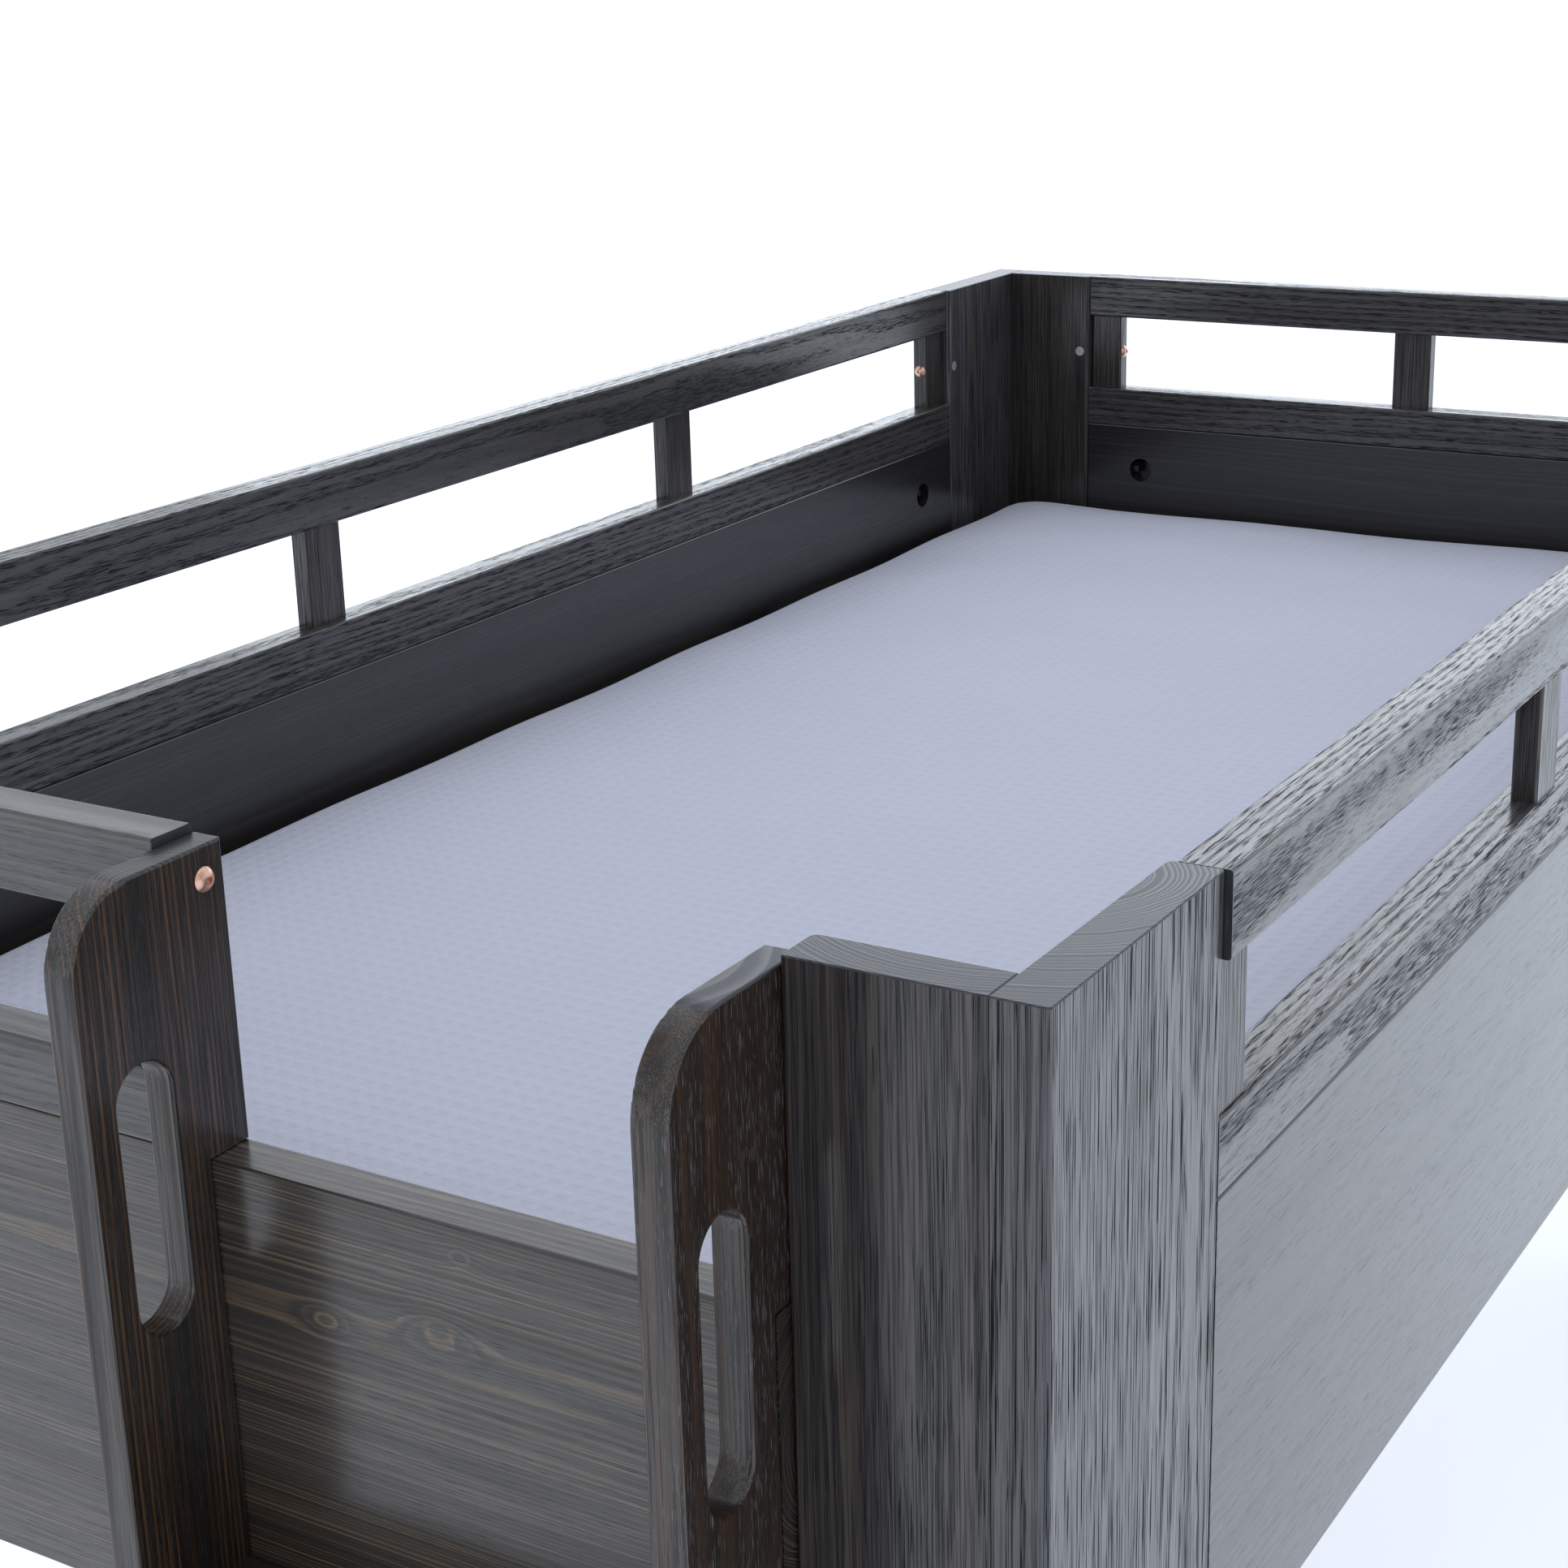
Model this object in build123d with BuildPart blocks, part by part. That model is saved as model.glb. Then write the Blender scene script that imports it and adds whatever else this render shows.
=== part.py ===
from build123d import *
from math import asin, cos, radians, sin, sqrt
import os
from typing import NamedTuple

os.makedirs("parts", exist_ok=True)

# Mid sleeper bed in stained solid wood, in millimetres, +Z up, the floor at Z = 0.
# X runs across the bed and Y along it. The ladder stands at the -Y end, to the right.
# The origin lies on the floor, under the middle of the bed with its ladder.

# Mattress and the room around it
mattress_length = 2000
mattress_width = 1000
mattress_thickness = 120
mattress_end_gap = 7
mattress_side_gap = 5
mattress_drop = 85
mattress_corner_radius = 55
mattress_edge_round = 22
mattress_crown = 6
mattress_crown_reach = 190
mattress_waist = 5
soft_gap = 0.3

# Corner posts, each of two boards glued to an L
height = 1150
board = 30
side_leg = 193
end_leg = 135
leg_round = 5
edge_round = 2
seam_round = 0.8
top_chamfer = 0.7

# Rail, uprights and sill over a wide plank
rail_height = 47
rail_proud = 4
opening_height = 86
sill_height = 44
plank_height = 301
end_upright_width = 38
upright_width = 43
upright_recess = 6
side_opening_count = 3
end_opening_count = 2
entry_opening_count = 1
tenon_length = 14
tenon_shoulder = 6
tenon_cheek = 4
tenon_fit = 0.2

# The entry end stands proud of the posts
entry_proud = 12

# Ladder
ladder_clear = 330
ladder_reach = 83
stringer_thickness = 20
stringer_drop = 5
stringer_front_radius = 46
stringer_back_radius = 8
stringer_foot_radius = 10
stringer_edge_round = 2
grip_length = 153
grip_width = 39
grip_setback = 40.5
grip_drop = 181.5
tread_count = 3
tread_thickness = 28
tread_setback = 5
tread_back_gap = 2
tread_nose_radius = 9
tread_edge_round = 2
housing_depth = 6
housing_fit = 0.2

# Slatted base on two ledgers
slat_count = 12
slat_width = 95
slat_thickness = 18
slat_side_gap = 5
slat_end_gap = 12
slat_chamfer = 3
ledger_thickness = 30
ledger_height = 40
ledger_end_gap = 1
strap_width = 20
strap_thickness = 1.5
strap_inset = 220

# Glide pads stuck under the posts and the ladder
glide_radius = 9
glide_height = 4

# Button head bolts with hexagon sockets, and their barrel nuts
bolt_radius = 3
bolt_head_radius = 7
bolt_head_height = 4
bolt_end = 4
bolt_hole_gap = 0.3
socket_radius = 2.3
socket_depth = 2.2
nut_radius = 5.5
nut_inset = 12
nut_margin = 1.5
nut_hole_gap = 0.1
tread_nut_inset = 30

# Hexagon head coach screws, sunk in round pockets at the ends of the planks
pocket_radius = 14
pocket_floor_gap = 1
pocket_setback = 70
pocket_top_margin = 53
pocket_low_margin = 20
coach_radius = 4
coach_head_radius = 7
coach_head_height = 6
coach_grip = 40
coach_hole_gap = 0.2

# Countersunk wood screws
screw_radius = 2
screw_head_radius = 4.5
screw_head_height = 3
screw_hole_gap = 0.1
ledger_screw_length = 50
ledger_screw_count = 5
ledger_screw_margin = 120
stringer_screw_length = 65
stringer_screw_margin = 90
stringer_screw_spacing = 80

# A cut that leaves the wood runs on by this much
overrun = 2

# Places that follow from the sizes above
bed_width = mattress_width + 2 * mattress_side_gap + 2 * board
bed_length = mattress_length + 2 * mattress_end_gap + 2 * board
bed_middle = (entry_proud + ladder_reach - rail_proud) / 2
post_face = bed_middle - bed_length / 2
entry_face = post_face - entry_proud
entry_back = entry_face + board
rail_low = height - rail_height
sill_top = rail_low - opening_height
plank_top = sill_top - sill_height
plank_low = plank_top - plank_height
upright_thickness = board - 2 * upright_recess
slat_top = plank_top - mattress_drop - mattress_thickness - soft_gap
slat_low = slat_top - slat_thickness
ledger_middle = slat_low - ledger_height / 2
guard_bolt_height = (rail_low + sill_top) / 2
rail_bolt_height = height - rail_height / 2
coach_heights = (plank_low + pocket_low_margin, plank_top - pocket_top_margin)
coach_seat = sqrt(pocket_radius**2 - coach_head_radius**2)


class Side(NamedTuple):
    """One side of the bed. Its plane lies on the outer faces of the posts, x along and y up."""

    name: str
    plane: Plane
    half: float
    leg: float
    lap: float
    proud: float
    rail_proud: float
    corners: tuple

    @property
    def run(self):
        """Half of the free length between the two posts."""
        return self.half - self.leg

    @property
    def coach_line(self):
        """How far in the coach screws lie, in the middle of what plank and post share."""
        return (board - self.proud) / 2

    @property
    def upright_outer(self):
        """How far in the outer faces of the uprights lie."""
        return upright_recess - self.rail_proud

    @property
    def upright_line(self):
        """How far in the upright's bolt lies, in the middle of what upright and post share."""
        return (max(self.upright_outer, 0) + self.upright_outer + upright_thickness) / 2


def side_plane(x, y, inwards):
    """Plane at a side's middle, its x along the side, its y up and its z into the bed."""
    return Plane(origin=(x, y, 0), x_dir=Vector(0, 0, 1).cross(inwards), z_dir=inwards)


half_width = bed_width / 2
half_length = bed_length / 2
right = Side("right", side_plane(half_width, bed_middle, Vector(-1, 0, 0)), half_length,
             side_leg, 0, 0, rail_proud, ("far_right", "near_right"))
left = Side("left", side_plane(-half_width, bed_middle, Vector(1, 0, 0)), half_length,
            side_leg, 0, 0, rail_proud, ("near_left", "far_left"))
far = Side("far", side_plane(0, bed_middle + half_length, Vector(0, -1, 0)), half_width,
           end_leg, board, 0, rail_proud, ("far_left", "far_right"))
entry = Side("entry", side_plane(0, post_face, Vector(0, 1, 0)), half_width,
             end_leg, board, entry_proud, entry_proud, ("near_right", "near_left"))
sides = (right, left, far, entry)

# The ladder stands against the right hand post. Its guard starts at the ladder's other side.
right_stringer = entry.run - stringer_thickness
left_stringer = right_stringer - ladder_clear - stringer_thickness
guard_start = -left_stringer
stringer_front = entry_face - ladder_reach
stringer_top = height - stringer_drop


def keep(piece, name):
    """Label a finished piece and write it."""
    piece.part.label = name
    export_step(piece.part, f"parts/{name}.step")


def along_plane(side, along, up, inwards, way=1):
    """Plane at a place on a side, its z running along the side, or back for way -1."""
    return Plane(
        origin=side.plane.from_local_coords((along, up, inwards)),
        x_dir=(0, 0, 1),
        z_dir=side.plane.x_dir * way,
    )


def inward_plane(side, along, up, inwards):
    """Plane at a place on a side, its z running into the bed."""
    return Plane(
        origin=side.plane.from_local_coords((along, up, inwards)),
        x_dir=side.plane.x_dir,
        z_dir=side.plane.z_dir,
    )


def outward_plane(side, along, up, inwards):
    """Plane at a place on a side, its z running out of the bed."""
    return Plane(
        origin=side.plane.from_local_coords((along, up, inwards)),
        x_dir=side.plane.x_dir,
        z_dir=-side.plane.z_dir,
    )


def down_plane(side, along, up, inwards):
    """Plane at a place on a side, its x along the side, its y inwards and its z down."""
    return Plane(
        origin=side.plane.from_local_coords((along, up, inwards)),
        x_dir=side.plane.x_dir,
        z_dir=(0, 0, -1),
    )


def beam(side, start, end, low, high, outer, thickness, radius):
    """Lying board with eased long edges."""
    plane = along_plane(side, start, (low + high) / 2, outer + thickness / 2)
    with BuildSketch(plane) as section:
        RectangleRounded(high - low, thickness, radius)
    extrude(section.sketch, amount=end - start)


def column(side, start, end, low, high, outer, thickness, radius=0, mode=Mode.ADD):
    """Standing board, with eased long edges if it has a radius."""
    plane = down_plane(side, (start + end) / 2, high, outer + thickness / 2)
    with BuildSketch(plane) as section:
        Rectangle(end - start, thickness)
        if radius:
            fillet(section.vertices(), radius)
    extrude(section.sketch, amount=high - low, mode=mode)


def screw(plane, length, gap=0, mode=Mode.ADD):
    """Countersunk screw from a plane along its z, or the hole for it."""
    axis_plane = Plane(origin=plane.origin, x_dir=plane.z_dir, z_dir=plane.x_dir)
    head = screw_head_radius + gap
    shank = screw_radius + gap
    with BuildSketch(axis_plane) as section:
        with BuildLine():
            Polyline((0, 0), (0, head), (screw_head_height, shank), (length + gap, shank),
                     (length + gap, 0), close=True)
        make_face()
    revolve(section.sketch, Axis(plane.origin, plane.z_dir), mode=mode)


def bore(plane, radius, depth):
    """Round hole from a plane along its z."""
    with BuildSketch(plane) as section:
        Circle(radius)
    extrude(section.sketch, amount=depth, mode=Mode.SUBTRACT)


# Corner posts


def post_bolt(side, end):
    """Height of the bolt into the post at one end of a side, and how far in it lies."""
    if side is entry and end < 0:
        return rail_bolt_height, side.coach_line
    return guard_bolt_height, side.upright_line


def nut_floor(line):
    """How far in a barrel nut's buried end lies, for a bolt that lies this far in."""
    return line - bolt_radius - nut_margin


def nut_bore(side, along, up, line, face):
    """Hole for a barrel nut, from a board's inner face to just past the bolt."""
    floor = nut_floor(line)
    bore(inward_plane(side, along, up, floor), nut_radius + nut_hole_gap, face - floor + overrun)


def bolt_bore(side, along, up, line, way):
    """Hole for a bolt's end, from a board's end."""
    depth = nut_inset + bolt_end + bolt_hole_gap
    bore(along_plane(side, along, up, line, way), bolt_radius + bolt_hole_gap, depth)


def post_board(side, end):
    """One board of a post, at one end (-1 or 1) of a side, with its holes."""
    outer = end * (side.half - side.lap)
    inner = end * side.run
    outer_rounds = (seam_round, 0) if side.lap else (edge_round, seam_round)
    up, line = post_bolt(side, end)
    with BuildPart() as piece:
        with BuildSketch(down_plane(side, 0, height, 0)) as section:
            with Locations(((outer + inner) / 2, board / 2)):
                Rectangle(abs(outer - inner), board)
            fillet(section.vertices().sort_by_distance((inner, board))[0], leg_round)
            fillet(section.vertices().sort_by_distance((inner, 0))[0], edge_round)
            fillet(section.vertices().sort_by_distance((outer, 0))[0], outer_rounds[0])
            if outer_rounds[1]:
                fillet(section.vertices().sort_by_distance((outer, board))[0], outer_rounds[1])
        extrude(amount=height - glide_height)
        chamfer(piece.faces().sort_by(Axis.Z)[-1].edges(), top_chamfer)
        bolt_bore(side, inner, up, line, end)
        nut_bore(side, inner + end * nut_inset, up, line, board)
        for coach_height in coach_heights:
            bore(along_plane(side, inner, coach_height, side.coach_line, end),
                 coach_radius + coach_hole_gap, coach_grip + coach_hole_gap)
    return piece


def post_glide(side, end):
    """Place on the floor of the glide under a post board."""
    middle = end * (side.half - side.lap + side.run) / 2
    place = side.plane.from_local_coords((middle, 0, board / 2))
    return place.X, place.Y


for side in sides:
    for end, corner in zip((-1, 1), side.corners):
        kind = "end_board" if side.lap else "side_board"
        keep(post_board(side, end), f"{corner}_{kind}")


# Guard frames and planks


def upright_spans(start, end, first_width, count):
    """Where the uprights start and end along a guard frame with this many openings."""
    clear = end - start - first_width - end_upright_width - (count - 1) * upright_width
    opening = clear / count
    spans = [(start, start + first_width)]
    for _ in range(count - 1):
        place = spans[-1][1] + opening
        spans.append((place, place + upright_width))
    spans.append((end - end_upright_width, end))
    return spans


def mortise(side, span, low, high):
    """Slot for an upright's tenon, in a rail or a sill."""
    start, end = span
    inset = tenon_shoulder - tenon_fit
    cheek = tenon_cheek - tenon_fit
    column(side, start + inset, end - inset, low, high, side.upright_outer + cheek,
           upright_thickness - 2 * cheek, mode=Mode.SUBTRACT)


def rail(side, start, end, spans):
    """Top rail, with a slot under it for each upright."""
    with BuildPart() as piece:
        beam(side, start, end, rail_low, height, -side.rail_proud, board, edge_round)
        for span in spans:
            mortise(side, span, rail_low - overrun, rail_low + tenon_length + tenon_fit)
        if side is entry:
            line = board / 2 - side.rail_proud
            bolt_bore(side, start, rail_bolt_height, line, 1)
            nut_bore(side, start + nut_inset, rail_bolt_height, line, board - side.rail_proud)
    return piece


def sill(side, start, end, spans):
    """Sill on the plank, with a slot in it for each upright."""
    with BuildPart() as piece:
        beam(side, start, end, plank_top, sill_top, -side.proud, board, edge_round)
        for span in spans:
            mortise(side, span, sill_top - tenon_length - tenon_fit, sill_top + overrun)
    return piece


def upright(side, span, bolt_end_way):
    """Upright between rail and sill, with a tenon at each end and a bolt hole if it has a bolt."""
    start, end = span
    outer = side.upright_outer
    with BuildPart() as piece:
        column(side, start, end, sill_top, rail_low, outer, upright_thickness, edge_round)
        column(side, start + tenon_shoulder, end - tenon_shoulder, sill_top - tenon_length,
               rail_low + tenon_length, outer + tenon_cheek, upright_thickness - 2 * tenon_cheek)
        if bolt_end_way:
            at_post = end if bolt_end_way > 0 else start
            plane = along_plane(side, at_post + bolt_end_way * overrun, guard_bolt_height,
                                side.upright_line, -bolt_end_way)
            bore(plane, bolt_radius + bolt_hole_gap, end - start + 2 * overrun)
    return piece


def screw_planes(side):
    """Planes on the heads of the wood screws in a side's plank, z into the wood."""
    if side is entry:
        first = plank_low + stringer_screw_margin
        heights = (first, first + stringer_screw_spacing)
        places = (-left_stringer, -right_stringer)
        return [outward_plane(side, along - stringer_thickness / 2, up, board - side.proud)
                for along in places for up in heights]
    if side is far:
        return []
    reach = side.run - ledger_screw_margin
    pitch = 2 * reach / (ledger_screw_count - 1)
    face = board + ledger_thickness
    return [outward_plane(side, -reach + number * pitch, ledger_middle, face)
            for number in range(ledger_screw_count)]


def screw_bores(side):
    """Holes for the wood screws of a side, in each board that they pass."""
    length = stringer_screw_length if side is entry else ledger_screw_length
    for plane in screw_planes(side):
        screw(plane, length, screw_hole_gap, Mode.SUBTRACT)


def plank(side):
    """Wide plank between the posts, with pockets for the coach screws at its ends."""
    face = board - side.proud
    floor = side.coach_line - coach_head_radius - pocket_floor_gap
    with BuildPart() as piece:
        beam(side, -side.run, side.run, plank_low, plank_top, -side.proud, board, edge_round)
        for end in (-1, 1):
            pocket = end * (side.run - pocket_setback)
            for up in coach_heights:
                bore(inward_plane(side, pocket, up, floor), pocket_radius, face - floor + overrun)
                bore(along_plane(side, pocket, up, side.coach_line, end),
                     coach_radius + coach_hole_gap, pocket_setback + overrun)
        screw_bores(side)
    return piece


def guard_spans(side):
    """Where the uprights of a side's guard start and end."""
    if side is entry:
        return upright_spans(guard_start, side.run, upright_width, entry_opening_count)
    count = end_opening_count if side is far else side_opening_count
    return upright_spans(-side.run, side.run, end_upright_width, count)


for side in sides:
    spans = guard_spans(side)
    start = spans[0][0]
    end = spans[-1][1]
    keep(rail(side, start, end, spans), f"{side.name}_rail")
    keep(sill(side, start, end, spans), f"{side.name}_sill")
    keep(plank(side), f"{side.name}_plank")
    for number, span in enumerate(spans, 1):
        first = number == 1 and side is not entry
        last = number == len(spans)
        keep(upright(side, span, last - first), f"{side.name}_upright_{number}")


# Ladder

tread_pitch = plank_top / (tread_count + 1)
tread_tops = [tread_pitch * number for number in range(1, tread_count + 1)]
tread_front = stringer_front + tread_setback
tread_depth = entry_face - tread_back_gap - tread_front
tread_middle = tread_front + tread_depth / 2
tread_end = stringer_thickness - housing_depth + housing_fit
tread_length = ladder_clear + 2 * (housing_depth - housing_fit)


def cross_plane(x):
    """Plane across the bed at this X, its x pointing along the bed and its y up."""
    return Plane(origin=(x, 0, 0), x_dir=(0, 1, 0), z_dir=(1, 0, 0))


def tread_block(x, top, length, gap=0, mode=Mode.ADD):
    """A tread's rounded profile along X from this place, or the housing for it."""
    with BuildSketch(cross_plane(x)) as section:
        with Locations((tread_middle, top - tread_thickness / 2)):
            Rectangle(tread_depth + 2 * gap, tread_thickness + 2 * gap)
        corners = section.vertices().sort_by(Axis.X)
        fillet(corners[:2], tread_nose_radius + gap)
        fillet(corners[2:], tread_edge_round + gap)
    extrude(section.sketch, amount=length, mode=mode)


def tread_bolt_planes(way):
    """Planes on the outer face of the left (way 1) or right (way -1) stringer, z into the treads."""
    x = left_stringer if way > 0 else right_stringer + stringer_thickness
    return [Plane(origin=(x, tread_middle, top - tread_thickness / 2), x_dir=(0, 1, 0),
                  z_dir=(way, 0, 0)) for top in tread_tops]


def tread_nut_planes():
    """Planes on the buried ends of the treads' barrel nuts, z down and x along the bolts."""
    depth = bolt_radius + nut_margin
    return [Plane(origin=bolt.origin + bolt.z_dir * (tread_end + tread_nut_inset)
                  + Vector(0, 0, depth), x_dir=bolt.z_dir, z_dir=(0, 0, -1))
            for way in (-1, 1) for bolt in tread_bolt_planes(way)]


def stringer(x, way):
    """Ladder side board: rounded head, hand slot, a hook over the plank and tread housings."""
    slot_place = (stringer_front + grip_setback, height - grip_drop)
    inner_face = x + stringer_thickness if way > 0 else x
    with BuildPart() as piece:
        with BuildSketch(cross_plane(x)) as section:
            with BuildLine():
                Polyline(
                    (stringer_front, glide_height),
                    (stringer_front, stringer_top),
                    (entry_back, stringer_top),
                    (entry_back, plank_top),
                    (entry_face, plank_top),
                    (entry_face, glide_height),
                    close=True,
                )
            make_face()
            corners = section.vertices()
            fillet(corners.sort_by_distance((stringer_front, stringer_top))[0],
                   stringer_front_radius)
            fillet(corners.sort_by_distance((entry_back, stringer_top))[0], stringer_back_radius)
            fillet(corners.sort_by_distance((stringer_front, glide_height))[0],
                   stringer_foot_radius)
            with Locations(slot_place):
                SlotOverall(grip_length, grip_width, rotation=90, mode=Mode.SUBTRACT)
        extrude(amount=stringer_thickness)
        fillet(piece.faces().filter_by(Axis.X).edges(), stringer_edge_round)
        for top in tread_tops:
            tread_block(inner_face - housing_depth * (way > 0), top, housing_depth,
                        housing_fit, Mode.SUBTRACT)
        for plane in tread_bolt_planes(way):
            bore(plane, bolt_radius + bolt_hole_gap, stringer_thickness)
        bore(top_bolt_plane(way), bolt_radius + bolt_hole_gap, stringer_thickness)
        screw_bores(entry)
    return piece


def top_bolt_plane(way):
    """Plane under the head of the bolt from a stringer's inner face into guard rail or post."""
    inner = left_stringer + stringer_thickness if way > 0 else right_stringer
    line = board / 2 - entry_proud if way > 0 else entry.coach_line
    return along_plane(entry, -inner, rail_bolt_height, line, way)


def stringer_glides(x):
    """Places on the floor of the two glides under a stringer."""
    middle = x + stringer_thickness / 2
    inset = stringer_foot_radius + glide_radius
    return (middle, stringer_front + inset), (middle, entry_face - inset)


def tread(top):
    """Tread with a rounded nose, with holes for a bolt and its barrel nut at each end."""
    low = top - tread_thickness
    with BuildPart() as piece:
        tread_block(left_stringer + tread_end, top, tread_length)
        for way in (-1, 1):
            for plane in tread_bolt_planes(way):
                bore(plane, bolt_radius + bolt_hole_gap,
                     tread_end + tread_nut_inset + bolt_end + bolt_hole_gap)
        for plane in tread_nut_planes():
            if low < plane.origin.Z < top:
                bore(plane, nut_radius + nut_hole_gap, tread_thickness)
    return piece


keep(stringer(left_stringer, 1), "ladder_stringer_left")
keep(stringer(right_stringer, -1), "ladder_stringer_right")
for number, top in enumerate(tread_tops, 1):
    keep(tread(top), f"ladder_tread_{number}")

# Slatted base

slat_length = mattress_width + 2 * mattress_side_gap - 2 * slat_side_gap
slat_first = bed_middle - half_length + board + slat_end_gap + slat_width / 2
slat_last = 2 * bed_middle - slat_first
slat_pitch = (slat_last - slat_first) / (slat_count - 1)

for number in range(slat_count):
    with BuildPart() as slat:
        with BuildSketch(cross_plane(-slat_length / 2)) as slat_outline:
            with Locations((slat_first + number * slat_pitch, slat_low + slat_thickness / 2)):
                Rectangle(slat_width, slat_thickness)
            chamfer(slat_outline.vertices(), slat_chamfer)
        extrude(amount=slat_length)
    keep(slat, f"slat_{number + 1:02}")

for side in (right, left):
    reach = side.half - board - ledger_end_gap
    with BuildPart() as ledger:
        beam(side, -reach, reach, slat_low - ledger_height, slat_low, board, ledger_thickness,
             edge_round)
        screw_bores(side)
    keep(ledger, f"ledger_{side.name}")

with BuildPart() as slat_straps:
    with BuildSketch(Plane.XY.offset(slat_low)):
        strap_place = slat_length / 2 - strap_inset
        with Locations((-strap_place, bed_middle), (strap_place, bed_middle)):
            Rectangle(strap_width, slat_last - slat_first + slat_width)
    extrude(amount=-strap_thickness)
keep(slat_straps, "slat_straps")

# Mattress: soft round edges, sides drawn in at the waist and a crowned top

edge_turns = (0, 30, 60, 90)
waist_shares = (0.25, 0.5, 0.75)
side_height = mattress_thickness - mattress_crown - 2 * mattress_edge_round
crown_start = mattress_thickness - mattress_crown
levels = []
for turn in reversed(edge_turns):
    levels.append((mattress_edge_round * (1 - sin(radians(turn))),
                   mattress_edge_round * (1 - cos(radians(turn)))))
for share in waist_shares:
    levels.append((mattress_edge_round + side_height * share,
                   mattress_waist * sin(radians(180 * share))))
for turn in edge_turns:
    levels.append((crown_start - mattress_edge_round * (1 - sin(radians(turn))),
                   mattress_edge_round * (1 - cos(radians(turn)))))
for turn in edge_turns[1:]:
    levels.append((crown_start + mattress_crown * sin(radians(turn)),
                   mattress_edge_round + mattress_crown_reach * (1 - cos(radians(turn)))))

with BuildPart() as mattress:
    for level, inset in levels:
        with BuildSketch(Plane.XY.offset(slat_top + soft_gap + level)):
            with Locations((0, bed_middle)):
                RectangleRounded(mattress_width - 2 * inset, mattress_length - 2 * inset,
                                 mattress_corner_radius - min(inset, mattress_edge_round))
    loft(ruled=True)
keep(mattress, "mattress")

# Fasteners and glides, each kind one group of equal pieces


def bolt(length):
    """Button head bolt along +Z with a hexagon socket, its head on the plane below."""
    with BuildPart() as piece:
        with BuildSketch(Plane.XZ):
            with BuildLine():
                Line((0, length), (0, -bolt_head_height))
                ThreePointArc((0, -bolt_head_height), dome_middle(), (bolt_head_radius, 0))
                Polyline((bolt_head_radius, 0), (bolt_radius, 0), (bolt_radius, length),
                         (0, length))
            make_face()
        revolve(axis=Axis.Z)
        with BuildSketch(Plane.XY.offset(-bolt_head_height)):
            RegularPolygon(socket_radius, 6)
        extrude(amount=socket_depth, mode=Mode.SUBTRACT)
    return piece.part


def dome_middle():
    """Point halfway round the bolt head's dome, whose arc starts level at the crown."""
    radius = (bolt_head_radius**2 + bolt_head_height**2) / (2 * bolt_head_height)
    turn = asin(bolt_head_radius / radius) / 2
    return radius * sin(turn), radius * (1 - cos(turn)) - bolt_head_height


def barrel_nut(length):
    """Barrel nut up from its buried end, with the blind cross hole for a bolt along +X."""
    with BuildPart() as piece:
        with BuildSketch():
            Circle(nut_radius)
        extrude(amount=length)
        with BuildSketch(Plane.YZ.offset(-nut_radius)):
            with Locations((0, bolt_radius + nut_margin)):
                Circle(bolt_radius + nut_hole_gap)
        extrude(amount=nut_radius + bolt_end + bolt_hole_gap, mode=Mode.SUBTRACT)
    return piece.part


def coach_screw():
    """Coach screw along +Z with a hexagon head below the plane."""
    with BuildPart() as piece:
        with BuildSketch():
            RegularPolygon(coach_head_radius, 6)
        extrude(amount=-coach_head_height)
        with BuildSketch():
            Circle(coach_radius)
        extrude(amount=pocket_setback - coach_seat + coach_grip)
    return piece.part


def wood_screw(length):
    """Countersunk wood screw along +Z."""
    with BuildPart() as piece:
        screw(Plane.XY, length)
    return piece.part


def glide():
    """Round glide pad on the floor."""
    with BuildPart() as piece:
        with BuildSketch():
            Circle(glide_radius)
        extrude(amount=glide_height)
    return piece.part


def keep_group(name, *sets):
    """Write copies of each piece at its planes as one group of separate solids."""
    with BuildPart() as group:
        for part, planes in sets:
            with Locations(*planes):
                add(part)
    keep(group, name)


def nut_set(side, along, up, line, face, way):
    """A barrel nut and its plane, for a board's inner face this far in and a bolt's way."""
    floor = nut_floor(line)
    place = side.plane.from_local_coords((along, up, floor))
    plane = Plane(origin=place, x_dir=side.plane.x_dir * way, z_dir=side.plane.z_dir)
    return barrel_nut(face - floor), [plane]


post_ends = [(side, end) for side in sides for end in (-1, 1)]
upright_ends = [(side, end) for side, end in post_ends if side is not entry or end > 0]
upright_bolts = [along_plane(side, end * (side.run - end_upright_width), guard_bolt_height,
                             side.upright_line, end) for side, end in upright_ends]
tread_bolts = tread_bolt_planes(1) + tread_bolt_planes(-1)
keep_group(
    "copper_bolts",
    (bolt(end_upright_width + nut_inset + bolt_end), upright_bolts),
    (bolt(stringer_thickness + nut_inset + bolt_end), [top_bolt_plane(1), top_bolt_plane(-1)]),
    (bolt(tread_end + tread_nut_inset + bolt_end), tread_bolts),
)

post_nuts = [nut_set(side, end * (side.run + nut_inset), *post_bolt(side, end), board, end)
             for side, end in post_ends]
rail_nut = nut_set(entry, guard_start + nut_inset, rail_bolt_height, board / 2 - entry_proud,
                   board - entry_proud, 1)
tread_nut = barrel_nut(tread_thickness / 2 + bolt_radius + nut_margin)
keep_group("barrel_nuts", *post_nuts, rail_nut, (tread_nut, tread_nut_planes()))

coach_planes = [along_plane(side, end * (side.run - pocket_setback + coach_seat), up,
                            side.coach_line, end)
                for side, end in post_ends for up in coach_heights]
keep_group("coach_screws", (coach_screw(), coach_planes))

keep_group(
    "wood_screws",
    (wood_screw(ledger_screw_length), screw_planes(right) + screw_planes(left)),
    (wood_screw(stringer_screw_length), screw_planes(entry)),
)

glide_places = [post_glide(side, end) for side, end in post_ends]
glide_places += stringer_glides(left_stringer) + stringer_glides(right_stringer)
keep_group("glides", (glide(), [Plane(origin=(x, y, 0)) for x, y in glide_places]))
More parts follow.
